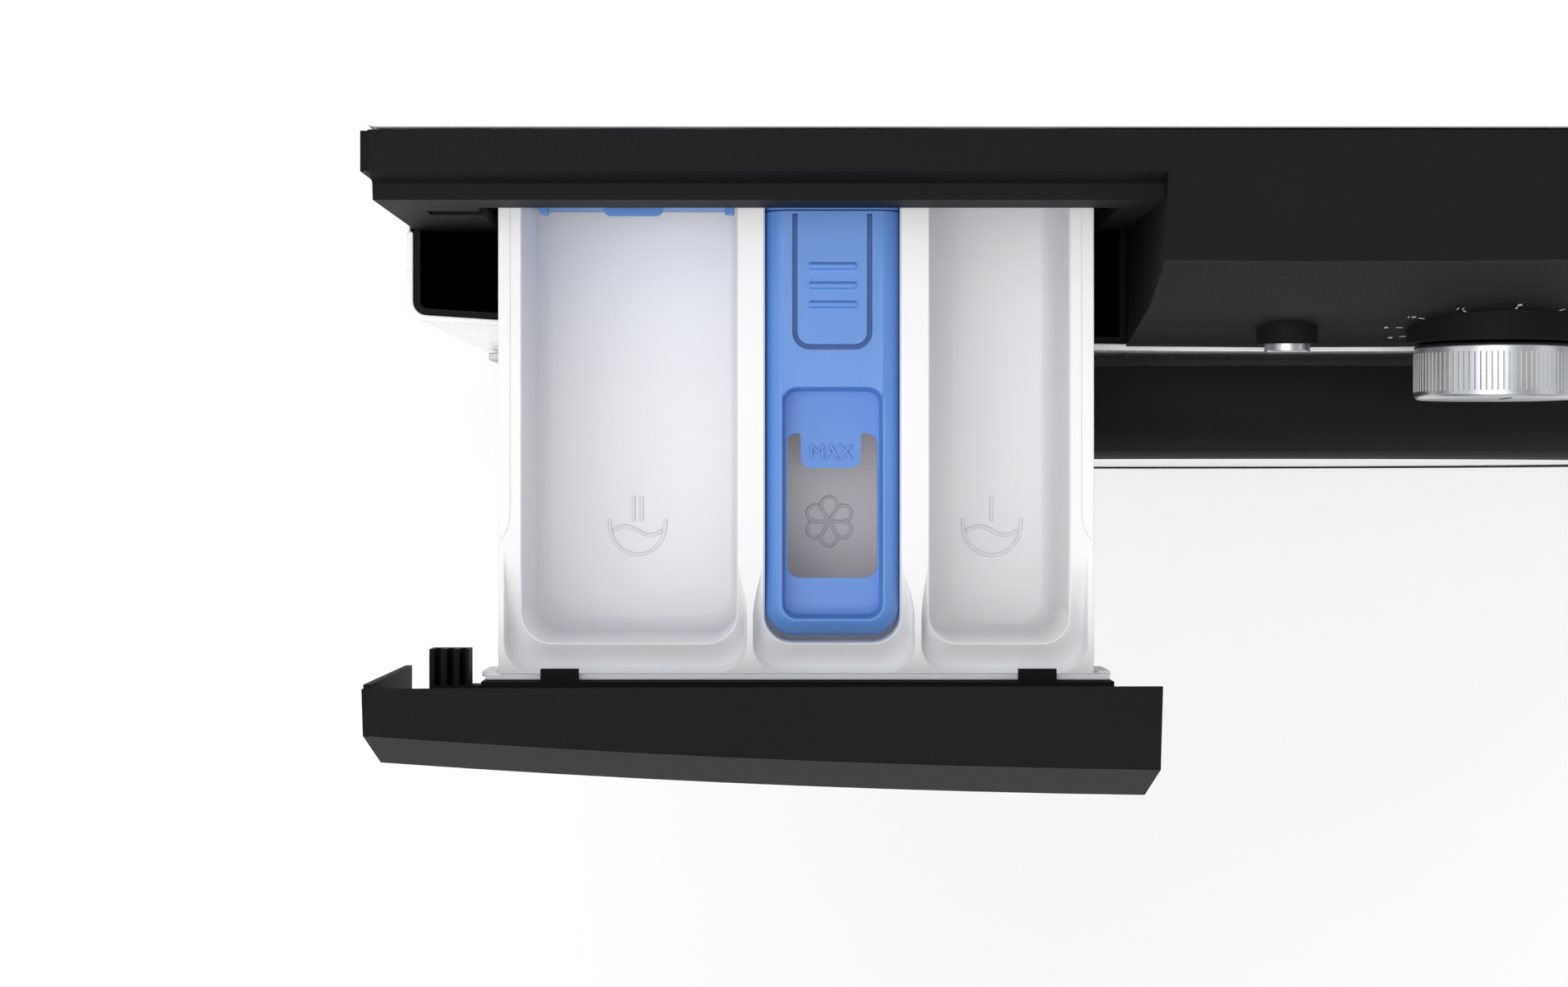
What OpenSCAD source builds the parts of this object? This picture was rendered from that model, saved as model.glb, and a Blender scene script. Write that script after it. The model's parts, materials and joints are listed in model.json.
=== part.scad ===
// Front load washing machine with its detergent drawer pulled out.
// Frame: +Z up, the front faces -Y, the origin is the middle of the footprint on the floor.

/* [Cabinet] */
// Width over the side panels
body_w = 598; // [560:1:680]
// Height from the floor to the top of the worktop
body_h = 850; // [810:1:900]
// Depth from the middle of the bowed front to the back edge of the sides
body_d = 545; // [500:1:620]
// Radius of the bow of the front, seen from above
bow_r = 4200; // [2500:50:9000]
// Thickness of the sheet steel
sheet = 1.2; // [0.8:0.1:2]
// Height of the underside of the base above the floor
base_z = 18; // [14:1:30]
// Depth of the side strip that the front panel wraps around its corner
wrap_d = 30; // [20:1:45]
// Radius of the front panel's upright corners
corner_r = 7; // [3:1:12]
// Thickness of the worktop
worktop_t = 24; // [16:1:32]
// How far the worktop stands out past each side
worktop_over = 0.5; // [0:0.1:3]

/* [Control panel] */
// Height of the control panel, from its bottom edge to the worktop's surface
fascia_h = 124; // [100:1:150]
// Depth of the panel's nearly level upper face
fascia_top_d = 39; // [30:1:55]
// Height of the steep face under the crease
fascia_mid_h = 43; // [30:1:60]
// Wall of the mouldings
wall = 3; // [2:0.5:4]
// Diameter of the programme knob
knob_d = 52; // [36:1:60]
// Distance of the knob from the middle of the machine
knob_x = 62; // [40:1:90]
// Diameter of a push button
button_d = 15; // [10:1:20]
// Travel of a push button
button_travel = 2; // [1:0.5:4]
// Width of the display window
display_w = 88; // [50:1:110]

/* [Detergent drawer] */
// Width of the drawer front
drawer_w = 244; // [210:1:260]
// How far the drawer pulls out
drawer_travel = 155; // [100:1:165]
// Width of the tray over its rims
tray_w = 187.6; // [170:0.1:200]
// Depth of the tray's compartments
tray_h = 62; // [45:1:66]
// Width of the main wash compartment
main_w = 68.5; // [55:0.5:76]
// Width of the softener compartment
soft_w = 43.5; // [35:0.5:50]
// Width of the prewash compartment
pre_w = 44.8; // [35:0.5:50]
// Play between the tray and its housing
tray_play = 1.2; // [0.5:0.1:3]

/* [Door] */
// Outer diameter of the door
door_d = 528; // [480:1:540]
// Height of the door's centre, the drum's axis
axis_z = 455; // [440:1:470]
// How far the door stands out from the front panel
door_proud = 36; // [28:1:50]
// Depth of the glass bowl behind its rim
glass_depth = 74; // [50:1:85]
// Radius of the hinge pin
hinge_pin_r = 3; // [2:0.5:4]

/* [Tub and drum] */
// Inside diameter of the drum
drum_d = 472; // [440:1:486]
// Length of the drum
drum_l = 308; // [240:1:320]
// Gap between the drum and the tub
drum_gap = 15; // [10:1:20]
// Wall of the tub
tub_wall = 4; // [3:0.5:6]
// Diameter of the drum's shaft
shaft_d = 30; // [20:1:40]
// Outer diameter of the bearings
bearing_d = 62; // [47:1:80]
// Diameter of the drum pulley
pulley_d = 280; // [220:1:320]
// Diameter of the motor pulley
motor_pulley_d = 20; // [16:1:30]
// Diameter of the motor
motor_d = 124; // [90:1:140]
// Height of the motor's axis above the floor
motor_z = 128; // [120:1:135]

/* [Fittings] */
// Diameter of a foot's pad
foot_d = 44; // [30:1:56]
// Diameter of a foot's threaded stud
stud_d = 10; // [8:1:14]
// Adjustment of a foot
foot_travel = 12; // [6:1:16]
// Outer diameter of the water inlet's thread
inlet_d = 26.4; // [20:0.1:33]
// Outer diameter of the drain spigot
drain_d = 21; // [16:1:26]
// Diameter of the mains cable's hole
cable_d = 10; // [7:0.5:14]
// Diameter of the holes for the transport bolts
transport_d = 18; // [10:1:24]
// Radial play of what turns or slides in a bore
fit = 0.05; // [0.02:0.01:0.1]

/* [Hidden] */
$fn = 96;
e = 0.5; // what a cut runs past a face

half_w = body_w / 2;
front_y = -body_d / 2;
back_y = body_d / 2;
bow_y = front_y + bow_r; // centre of the bow
function bow(x) = x * x / (2 * bow_r);
function turn(a) = [cos(a), sin(a)];

// control panel outline, in y and z at the middle of the machine
worktop_z = body_h - worktop_t;
worktop_y = front_y + 62;
fascia_y = worktop_y - 0.6;
fascia_z = body_h - 3;
crease_y = fascia_y - fascia_top_d;
crease_z = fascia_z - 9;
mid_y = crease_y - 11.7;
mid_z = crease_z - fascia_mid_h;
low_y = front_y + 1.3;
low_z = body_h - fascia_h;
cheek_z = low_z + 1;
FASCIA = [[fascia_y, fascia_z], [crease_y, crease_z], [mid_y, mid_z], [low_y, low_z + 0.5], [fascia_y, low_z + 0.5]];
FASCIA_IN = [[fascia_y + e, fascia_z - wall], [crease_y + wall - 0.6, crease_z - wall],
             [mid_y + wall, mid_z - 0.5], [low_y + wall, low_z - e], [fascia_y + e, low_z - e]];

// drawer and its notch in the control panel
notch_x = -half_w + drawer_w; // right end of the notch
notch_y = fascia_y - 12.3;    // back edge of the closed drawer front
lip_y = notch_y - 7.8;        // wall behind the drawer front
lip_z = crease_z - 3;
lip_bottom = lip_z - 27;
tray_x = -half_w + 38;        // left edge of the tray
tray_z = lip_bottom - 5;      // rim of the tray
tray_floor = tray_z - tray_h;
tray_front = lip_y - drawer_travel + 8.6;
tray_back = tray_front + 222;
main_x = tray_x + 7;
soft_x = main_x + main_w + 8;
pre_x = soft_x + soft_w + 8.5;
well_front = tray_front + 9.5;
well_back = tray_back - 12;
front_shift = -drawer_travel;
housing_top = tray_z + 4;
housing_back = tray_back + drawer_travel + 6;
pocket_z = low_z - 36; // floor of the finger recess

// door, in distance from the axis and y
door_r = door_d / 2;
door_front = front_y - door_proud + 0.2;
door_rear = front_y - 4.5;
dish_r = door_r - 59;
dish_y = front_y + 14.5;
// the bowl of glass keeps its share of the door
glass_d = door_d * 7 / 11;
mouth_r = glass_d / 2 + 4;
hinge_x = -door_r - 8;
hinge_y = front_y - 11.5;
hook_x = door_r - 34;

// tub and drum
drum_r = drum_d / 2;
drum_t = 1.2;
tub_r = drum_r + drum_t + drum_gap; // inside of the tub
tub_out = tub_r + tub_wall;
tub_y = front_y + 44.5;             // front plate of the tub
drum_y = tub_y + 19;
drum_end = drum_y + drum_l;
tub_end = drum_end + 28;
tub_split = tub_y + 32;
hub_end = tub_end + 38;
hub_start = tub_end - 14;
pulley_y = hub_end + 22;
pulley_w = 14;
shaft_r = shaft_d / 2;
bearing_r = bearing_d / 2;
tub_mouth = mouth_r + 14;
motor_x = 100;
motor_len = 150;
motor_y = pulley_y - 8 - motor_len;
damper_x = 185;
damper_y = -38;
damper_r = 10;
spring_x = 229;
spring_y = 62;
spring_r = 14;
spring_top = worktop_z - 44;
spring_low = axis_z + 148;
sump_x = 150;
sump_y = -150;
inlet_hose_x = -160;
inlet_hose_y = -6;
neck_r = 22;
pump_z = 84;
pump_r = 30;
heater_r = 3.5;
drain_x = sump_x + pump_r + 35;
foot_x = half_w - 44;
foot_front_y = front_y + 48;
foot_rear_y = -foot_front_y;
flap_x = 104;
flap_w = 116;
flap_z = 42;
flap_h = 104;
base_up = 34; // height of the base's walls
gland_x = -200;
gland_z = 120;
transport_x = 215;
transport_z = 190;
cover_r = pulley_d / 2 + 24;
lug_z = tub_under(damper_x - 9); // underside of the dampers' lugs
open_x0 = tray_x - 6.5; // opening in the control panel's wall
open_x1 = tray_x + tray_w + 7.5;
housing_front = notch_y + 3;
valve_x = -192;
valve_z = tray_z - 21;
function tub_under(x) = axis_z - sqrt(tub_out * tub_out - x * x); // the tub's underside at x
function tub_over(x) = axis_z + sqrt(tub_out * tub_out - x * x);  // the tub's top at x

WHITE = [0.93, 0.93, 0.92];
BLACK = [0.07, 0.07, 0.08];
TRAY = [0.86, 0.87, 0.86];
BLUE = [0.25, 0.5, 0.75];
STEEL = [0.72, 0.73, 0.74];
ZINC = [0.6, 0.62, 0.63];
GREY = [0.42, 0.43, 0.44];
STONE = [0.55, 0.55, 0.53];
RUBBER = [0.3, 0.31, 0.32];

// ---- shapes ----

module box(x0, x1, y0, y1, z0, z1) {
    translate([x0, y0, z0]) cube([x1 - x0, y1 - y0, z1 - z0]);
}

module rod_y(x, z, y0, y1, r) {
    translate([x, y0, z]) rotate([-90, 0, 0]) cylinder(h = y1 - y0, r = r);
}

module rod_z(x, y, z0, z1, r) {
    translate([x, y, z0]) cylinder(h = z1 - z0, r = r);
}

module tube_z(x, y, z0, z1, r_out, r_in) {
    difference() {
        rod_z(x, y, z0, z1, r_out);
        rod_z(x, y, z0 - e, z1 + e, r_in);
    }
}

// A shape turned about the drum's axis: points are distance from the axis and y
module turned(points, z = axis_z, $fn = 180) {
    translate([0, 0, z]) rotate([-90, 0, 0]) rotate_extrude() polygon(points);
}

// A section swept along the bow of the front: points are y and z
module bowed(points, shift = 0) {
    sweep = 2 * asin(half_w / bow_r) + 0.4;
    translate([0, bow_y + shift, 0]) rotate([0, 0, -90 - sweep / 2])
        rotate_extrude(angle = sweep, $fn = 1440)
            polygon([for (p = points) [bow_y - p[0], p[1]]]);
}

// A section drawn in y and z, extruded along x
module along_x(points, x0, x1) {
    translate([x0, 0, 0]) rotate([90, 0, 90]) linear_extrude(x1 - x0) polygon(points);
}

function rounded(x0, x1, y0, y1, r, n = 6) =
    [for (q = [[x1 - r, y1 - r, 0], [x0 + r, y1 - r, 90], [x0 + r, y0 + r, 180], [x1 - r, y0 + r, 270]])
        for (k = [0:n]) [q[0], q[1]] + r * turn(q[2] + 90 * k / n)];

module well(x0, x1, y0, y1, z0, z1, r) {
    translate([0, 0, z0]) linear_extrude(z1 - z0) polygon(rounded(x0, x1, y0, y1, r));
}

// Plan of the front panel at a given inset: its wrapped sides, round corners and bow
function plan(inset, y_end) =
    let (w = half_w - inset, r = corner_r - inset, c = half_w - corner_r, n = 6, m = 16)
    concat([[-w, y_end]],
           [for (k = [0:n]) [-c, front_y + corner_r + bow(c)] + r * turn(180 + 90 * k / n)],
           [for (k = [1:m - 1]) let (x = -c + 2 * c * k / m) [x, front_y + inset + bow(x)]],
           [for (k = [0:n]) [c, front_y + corner_r + bow(c)] + r * turn(270 + 90 * k / n)],
           [[w, y_end]]);

// ---- cabinet ----

wrap_y = front_y + 10.6 + wrap_d; // back edge of the front panel's wrapped sides

module side_panel(side) {
    fold = 18;
    color(WHITE) scale([side, 1, 1]) difference() {
        union() {
            box(half_w - sheet, half_w, wrap_y + 0.4, back_y, base_z + 4, worktop_z - 0.5);
            box(half_w - fold, half_w, wrap_y + 0.4, wrap_y + 0.4 + sheet, base_z + base_up + 2, pocket_z - 2);
            box(half_w - fold, half_w, back_y - 8.4, back_y - 8.4 + sheet, base_z + 4, worktop_z - 0.5);
            box(half_w - fold, half_w, fascia_y + 2, back_y - 11.5, worktop_z - 0.5 - sheet, worktop_z - 0.5);
        }
        box(half_w - fold - 1, half_w + 1, front_y, fascia_y + 1, low_z, body_h);
    }
}

module side_panel_left() { side_panel(-1); }
module side_panel_right() { side_panel(1); }

module rear_panel() {
    y = back_y - 10.5;
    press = 5; // depth of the round pressing
    color(ZINC) difference() {
        union() {
            difference() {
                box(-half_w + 2, half_w - 2, y, y + sheet, base_z + 4, worktop_z - 1);
                rod_y(0, axis_z, y - 1, y + 3, cover_r);
            }
            difference() {
                rod_y(0, axis_z, y, y + press, cover_r + sheet);
                rod_y(0, axis_z, y - 1, y + press - sheet, cover_r);
            }
        }
        for (x = [-1, 1], z = [-1, 1])
            rod_y(x * transport_x, axis_z + z * transport_z, y - e, y + 3, transport_d / 2);
        rod_y(valve_x, valve_z, y - e, y + 3, inlet_d / 2 + 1.5);
        rod_y(drain_x, pump_z - 18, y - e, y + 3, drain_d / 2 + 1.5);
        rod_y(gland_x, gland_z, y - e, y + 3, cable_d / 2 + 4);
    }
}

module base_frame() {
    x1 = half_w - sheet - 1;
    y0 = front_y + bow(half_w) + 5.4;
    y1 = back_y - 12;
    color(ZINC) difference() {
        union() {
            difference() {
                box(-x1, x1, y0, y1, base_z, base_z + base_up);
                box(-x1 + 2, x1 - 2, y0 + 2, y1 - 2, base_z + 2, base_z + base_up + 1);
                // opening under the tub
                well(-140, 140, -100, 200, base_z - 1, base_z + 3, 30);
            }
            // corner blocks that take the feet
            for (x = [-1, 1], y = [foot_front_y, foot_rear_y])
                box(x * foot_x - 16, x * foot_x + 16, y - 14, y + 14, base_z, base_z + 30);
            // feet of the dampers
            for (x = [-1, 1]) box(x * damper_x - 16, x * damper_x + 16, damper_y - 22, damper_y + 22, base_z, base_z + 22);
        }
        for (x = [-1, 1], y = [foot_front_y, foot_rear_y])
            rod_z(x * foot_x, y, base_z - 1, base_z + 60, stud_d / 2 + fit);
        // the front wall is open behind the service flap
        box(flap_x - 6, flap_x + flap_w + 6, y0 - 1, y0 + 3, flap_z - 4, flap_z + flap_h);
    }
}

module crossbar() {
    z1 = worktop_z - 2;
    x1 = half_w - sheet - 0.3;
    color(ZINC) {
        difference() {
            box(-x1, x1, spring_y - 16, spring_y + 16, z1 - 28, z1);
            box(-x1 - 1, x1 + 1, spring_y - 14, spring_y + 14, z1 - 26, z1 + 1);
        }
        // hangers of the springs
        for (x = [-1, 1]) {
            box(x * spring_x - 2, x * spring_x + 2, spring_y - 8, spring_y + 8, spring_top + 2, z1 - 27);
            translate([x * spring_x - 8, spring_y, spring_top + 2]) rotate([0, 90, 0]) cylinder(h = 16, r = 2);
        }
    }
}

module worktop() {
    w = half_w + worktop_over;
    r = 6;
    color(WHITE) {
        well(-w, w, worktop_y, back_y, body_h - 4, body_h, r);
        well(-w + 0.6, w - 0.6, worktop_y + 0.6, back_y - 0.6, body_h - 20, body_h - 4, r);
        well(-w, w, worktop_y, back_y, worktop_z, body_h - 20, r);
    }
}

module front_panel() {
    rim = 2.2;
    z0 = base_z - 2;
    color(WHITE) difference() {
        union() {
            difference() {
                translate([0, 0, z0]) linear_extrude(low_z - z0) polygon(plan(0, wrap_y));
                translate([0, 0, z0 - e]) linear_extrude(low_z - z0 - 4)
                    polygon(plan(sheet, wrap_y + 1));
                translate([0, 0, low_z - 5]) linear_extrude(6) polygon(plan(rim, wrap_y + 1));
                rod_y(0, axis_z, front_y - 1, wrap_y, dish_r + 1);
            }
            // dish around the mouth, and the lip that holds the gasket
            intersection() {
                turned([[dish_r, front_y - 2], [dish_r + sheet, front_y - 2], [dish_r + sheet, dish_y + sheet],
                        [mouth_r + sheet, dish_y + sheet], [mouth_r + sheet, dish_y + 7], [mouth_r, dish_y + 7],
                        [mouth_r, dish_y], [dish_r, dish_y]]);
                translate([0, 0, z0]) linear_extrude(low_z - z0) polygon(plan(0, wrap_y));
            }
        }
        // slot of the door's hook
        box(hook_x - 10, hook_x + 10, front_y - 1, front_y + 18, axis_z - 20, axis_z + 20);
        // service hatch
        box(flap_x, flap_x + flap_w, front_y - 1, front_y + 12, flap_z, flap_z + flap_h);
    }
}

module fascia() {
    top = [[fascia_y, fascia_z], [notch_y, fascia_z - 2.8], [notch_y - 2.8, lip_z + 1],
           [lip_y, lip_z], [lip_y, lip_bottom], [lip_y + wall, lip_bottom], [lip_y + wall, lip_z - wall],
           [notch_y + 1, lip_z - wall + 1], [notch_y + wall, fascia_z - 2 * wall], [fascia_y, fascia_z - wall]];
    inner_x = -half_w + 2.6; // the drawer front's left wall passes outside it
    pocket_end = notch_x - 2;
    places = [[knob_x, knob_d / 2 + 2.5], [power_x, button_d / 2 + 2.5], [start_x, button_d / 2 + 2.5]];
    color(BLACK) {
        difference() {
            union() {
                intersection() {
                    bowed(FASCIA);
                    difference() {
                        box(notch_x, half_w, front_y - 5, fascia_y, low_z - 5, body_h);
                        difference() {
                            bowed(FASCIA_IN);
                            box(notch_x - 1, notch_x + wall, front_y - 9, back_y, 0, body_h);
                            box(half_w - wall, half_w + 1, front_y - 9, back_y, 0, body_h);
                        }
                    }
                }
                // flat seats of the knob and the buttons
                for (q = places) rod_y(q[0], knob_z, low_y + bow(q[0]) - 0.6, mid_y + bow(q[0]) + wall, q[1]);
                // strip and lip behind the drawer front
                along_x(top, inner_x, notch_x + 1);
                // wall around the tray's opening
                difference() {
                    box(inner_x, open_x0, lip_y, lip_y + wall, pocket_z, lip_bottom + 1);
                    // way in for the drawer's guide
                    box(-half_w + 14.5, open_x0 + 1, lip_y - 1, lip_y + wall + 1, mid_z - 13, mid_z + 1);
                }
                box(open_x1, notch_x + wall, lip_y, lip_y + wall, pocket_z, lip_bottom + 1);
                box(open_x0 - 1, open_x1 + 1, lip_y, lip_y + wall, pocket_z, tray_floor - 6);
                // left end behind the drawer front
                box(-half_w, -half_w + wall, notch_y, fascia_y, cheek_z, fascia_z - 3);
                // finger recess below the drawer front
                intersection() {
                    translate([0, 0, pocket_z]) linear_extrude(low_z - 1 - pocket_z) polygon(plan(2.5, wrap_y + 3));
                    difference() {
                        box(-half_w, pocket_end + 2, front_y, lip_y + 1, pocket_z, low_z - 1);
                        intersection() {
                            translate([0, 0, pocket_z + 2]) linear_extrude(60) polygon(plan(4.5, wrap_y + 9));
                            box(-half_w, pocket_end, front_y, lip_y + 2, pocket_z + 2, low_z + 9);
                        }
                    }
                }
            }
            // knob, button and display places
            rod_y(knob_x, knob_z, front_y - 9, fascia_y - 2, knob_shaft_r + 0.3);
            for (x = [power_x, start_x]) rod_y(x, knob_z, front_y - 9, fascia_y - 2, button_d / 2 + 0.4);
            box(display_x, display_x + display_w, front_y - 9, fascia_y - 12, knob_z - 18, knob_z + 18);
        }
    }
}

knob_z = (low_z + mid_z) / 2 + 1;
knob_shaft_r = 5;
power_x = -6;
start_x = half_w - 32;
display_x = knob_x + knob_d / 2 + 40;

module display_window() {
    gap = 0.3;
    depth = 5;
    color(BLACK) intersection() {
        bowed(FASCIA);
        difference() {
            box(display_x + gap, display_x + display_w - gap, front_y - 5, fascia_y, knob_z - 18 + gap, knob_z + 18 - gap);
            bowed([[fascia_y + 2, fascia_z], [mid_y + depth, fascia_z], [mid_y + depth, mid_z], [low_y + depth, low_z], [fascia_y + 2, low_z]]);
        }
    }
}

module knob() {
    y0 = low_y + bow(knob_x) - 1.2;
    color(STEEL) {
        difference() {
            rod_y(knob_x, knob_z, y0 - 18, y0, knob_d / 2);
            rod_y(knob_x, knob_z, y0 - 15, y0 + 1, knob_d / 2 - 3);
        }
        rod_y(knob_x, knob_z, y0 - 16, y0 + 50, knob_shaft_r);
    }
}

module button(x) {
    y0 = low_y + bow(x);
    color(STEEL) {
        rod_y(x, knob_z, y0 - 1.4 - button_travel, y0 + 8, button_d / 2);
        rod_y(x, knob_z, y0 + 7, y0 + 46, 3);
    }
}

module power_button() { button(power_x); }
module start_button() { button(start_x); }

module control_module() {
    y1 = fascia_y + 60;
    x1 = half_w - 14;
    color(GREY) difference() {
        box(-20, x1, front_y + 40, y1, low_z + 8, low_z + 80);
        box(-18, x1 - 2, front_y + 42, y1 - 2, low_z + 10, low_z + 78);
        rod_y(knob_x, knob_z, front_y, front_y + 50, knob_shaft_r + fit);
        for (x = [power_x, start_x]) rod_y(x, knob_z, front_y, front_y + 50, 3 + fit);
    }
}

module dispenser_housing() {
    x0 = tray_x - tray_play;
    x1 = tray_x + tray_w + tray_play;
    z0 = tray_floor - 4;
    t = 2;
    color(TRAY) difference() {
        union() {
            box(x0 - t, x1 + t, housing_front, housing_back + t, z0 - t, housing_top + t);
            rod_z(inlet_hose_x, inlet_hose_y, z0 - 14, z0, neck_r);
            rod_y(valve_x + 2, valve_z, housing_back, housing_back + 14, 8);
        }
        box(x0, x1, lip_y, housing_back, z0, housing_top);
        rod_z(inlet_hose_x, inlet_hose_y, z0 - 20, z0 + 1, neck_r - 2);
        rod_y(valve_x + 2, valve_z, housing_back - 1, housing_back + 20, 6);
    }
}

module hinge_bracket() {
    z0 = axis_z - 68;
    z1 = axis_z + 68;
    y = front_y + bow(hinge_x + 2) - 0.1;
    color(ZINC) difference() {
        union() {
            box(hinge_x - 18, hinge_x + 2, y - 3, y, z0, z1);
            for (z = [z0, z1 - 22]) {
                box(hinge_x - 5, hinge_x + 3, hinge_y, y - 2, z, z + 22);
                rod_z(hinge_x, hinge_y, z, z + 22, 6.5);
            }
        }
        for (z = [z0 - e, z1 - 22 - e]) rod_z(hinge_x, hinge_y, z, z + 23, hinge_pin_r + fit);
    }
}

module door_arm() {
    z0 = axis_z - 44;
    z1 = axis_z + 44;
    color(ZINC) {
        rod_z(hinge_x, hinge_y, axis_z - 67, axis_z + 67, hinge_pin_r);
        rod_z(hinge_x, hinge_y, z0, z1, 6.5);
        box(hinge_x, hinge_x + 56, door_rear + 0.1, door_rear + 3, z0, z1);
        box(hinge_x - 2, hinge_x + 5.5, hinge_y, door_rear + 3, z0, z1);
    }
}

module door_lock() {
    y0 = front_y + bow(hook_x + 24) + sheet + 0.3;
    color(BLACK) difference() {
        box(hook_x - 22, hook_x + 24, y0, tub_y - 8, axis_z - 32, axis_z + 32);
        box(hook_x - 10, hook_x + 10, y0 - 1, tub_y - 12, axis_z - 20, axis_z + 20);
    }
}

module door_hook() {
    color(ZINC) {
        box(hook_x - 3, hook_x + 3, door_rear + 0.1, front_y + 24, axis_z - 9, axis_z + 9);
        box(hook_x - 3, hook_x + 3, front_y + 16, front_y + 24, axis_z - 14, axis_z + 9);
        box(hook_x - 9, hook_x + 9, door_rear + 0.1, door_rear + 1.8, axis_z - 14, axis_z + 14);
    }
}

module door_ring() {
    f = door_front;
    r = door_r;
    color(BLACK) difference() {
        turned([[r - 1, door_rear], [r, door_rear - 2], [r, f + 16.3], [r - 4, f + 8.3], [r - 10, f + 2.3], [r - 18, f],
                [dish_r + 2, f], [dish_r + 2, f + 3.5], [dish_r - 5, f + 3.5], [dish_r - 5, f + 6.5],
                [dish_r + 5.5, f + 6.5], [dish_r + 8, f + 3.5], [r - 19, f + 3.5], [r - 12.5, f + 5.5],
                [r - 7.2, f + 10.3], [r - 3.5, f + 17.3], [r - 3.5, door_rear]]);
        // grip
        box(door_r - 26, door_r + 2, f + 9, door_rear + 1, axis_z - 60, axis_z + 60);
    }
}

module door_handle() {
    f = door_front;
    color(STEEL) intersection() {
        turned([[door_r - 36, door_rear - 3.2], [door_r - 4.2, door_rear - 3.2], [door_r - 4.2, door_rear - 6],
                [door_r - 22, door_rear - 9], [door_r - 33, f + 6], [door_r - 36, f + 6]]);
        box(door_r - 60, door_r, f, door_rear, axis_z - 59.5, axis_z + 59.5);
    }
}

module door_window() {
    f = door_front;
    color([0.1, 0.1, 0.11]) turned([[0, f + 0.4], [dish_r - 12, f + 0.4], [dish_r + 1.7, f + 0.6], [dish_r + 1.7, f + 3.4], [0, f + 3.4]]);
}

module door_back() {
    d = door_rear;
    in_y = dish_y - 5;
    color(GREY) difference() {
        turned([[door_r - 3.8, d - 3], [door_r - 3.8, d], [dish_r - 5, d], [dish_r - 8, in_y], [glass_d / 2 + 1, in_y],
                [glass_d / 2 + 1, in_y - 3], [dish_r - 10.5, in_y - 3], [dish_r - 7.5, d - 3]]);
    }
}

module door_glass() {
    g = glass_d / 2;
    y0 = dish_y - 8.2;
    y1 = y0 + glass_depth;
    color([0.75, 0.85, 0.88, 0.4]) turned([[g + 22, y0 - 4], [g + 22, y0], [g, y0], [g - 6, y0 + 16],
        [g - 18, y1 - 23], [g - 33, y1 - 11], [g - 78, y1 - 4], [0, y1],
        [0, y1 - 4], [g - 79, y1 - 8], [g - 36, y1 - 14.5], [g - 22, y1 - 25.5], [g - 10, y0 + 14], [g - 4.5, y0 - 4]]);
}

module gasket() {
    r0 = mouth_r - 3.5;
    r1 = tub_mouth + tub_wall - 1;
    y0 = dish_y + 0.5;
    color(RUBBER) turned([[r0, y0], [r0 + 3, y0], [r0 + 3, dish_y + 8], [r1 + 3, dish_y + 8], [r1 + 3, tub_y - 4],
                          [r1 + 0.2, tub_y - 4], [r1 + 0.2, dish_y + 11], [r0, dish_y + 11]]);
}

// ---- suspension, water and power ----

module damper_tubes() {
    for (x = [-1, 1]) color(GREY) difference() {
        union() {
            rod_z(x * damper_x, damper_y, base_z + 24, 176, damper_r + 4);
            box(x * damper_x - 6, x * damper_x + 6, damper_y - 6, damper_y + 6, base_z + 22, base_z + 25);
        }
        rod_z(x * damper_x, damper_y, base_z + 34, 178, damper_r);
    }
}

module damper_rods() {
    for (x = [-1, 1]) color(ZINC) {
        rod_z(x * damper_x, damper_y, 100, 124, damper_r - fit);
        rod_z(x * damper_x, damper_y, 120, lug_z - 5, 5);
        box(x * damper_x - 8, x * damper_x + 8, damper_y - 9, damper_y + 9, lug_z - 10, lug_z);
    }
}

module springs() {
    for (x = [-1, 1]) color(ZINC) tube_z(x * spring_x, spring_y, spring_low, spring_top - 0.3, spring_r, spring_r - 4);
}

module drain_pump() {
    y0 = front_y + 30;
    color(TRAY) difference() {
        union() {
            rod_y(sump_x, pump_z, y0, sump_y + 45, pump_r);
            rod_z(sump_x, sump_y, pump_z, pump_z + 52, neck_r);
            rod_y(sump_x, pump_z, sump_y + 44, sump_y + 90, pump_r - 6);
            translate([sump_x, sump_y + 60, pump_z - 18]) rotate([0, 90, 0]) cylinder(h = drain_x - sump_x, r = drain_d / 2 - 1);
            box(sump_x - 26, sump_x + 26, sump_y - 20, sump_y + 60, base_z + 2.1, pump_z - 10);
        }
        rod_y(sump_x, pump_z, y0 - 1, sump_y + 40, pump_r - 3);
        rod_z(sump_x, sump_y, pump_z, pump_z + 54, neck_r - 2);
    }
}

module filter_cap() {
    y0 = front_y + 24;
    color(BLACK) {
        rod_y(sump_x, pump_z, y0, y0 + 5.8, pump_r + 3);
        rod_y(sump_x, pump_z, y0 + 5, y0 + 60, pump_r - 3 - fit);
        box(sump_x - 24, sump_x + 24, y0 - 8, y0 + 0.5, pump_z - 3, pump_z + 3);
    }
}

module service_flap() {
    gap = 0.8;
    color(WHITE) {
        intersection() {
            difference() {
                translate([0, 0, flap_z]) linear_extrude(flap_h) polygon(plan(0, wrap_y));
                translate([0, 0, flap_z - e]) linear_extrude(flap_h + 1) polygon(plan(2.4, wrap_y + 1));
            }
            box(flap_x + gap, flap_x + flap_w - gap, front_y, front_y + 20, flap_z + gap, flap_z + flap_h - gap);
        }
        // hinge ears at the foot
        for (x = [flap_x + 12, flap_x + flap_w - 20])
            box(x, x + 8, front_y + bow(flap_x) + 2, front_y + bow(flap_x) + 9, flap_z + 3, flap_z + 12);
        translate([flap_x + 6, front_y + bow(flap_x) + 5, flap_z + 7]) rotate([0, 90, 0]) cylinder(h = flap_w - 20, r = 1.6);
    }
}

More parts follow.
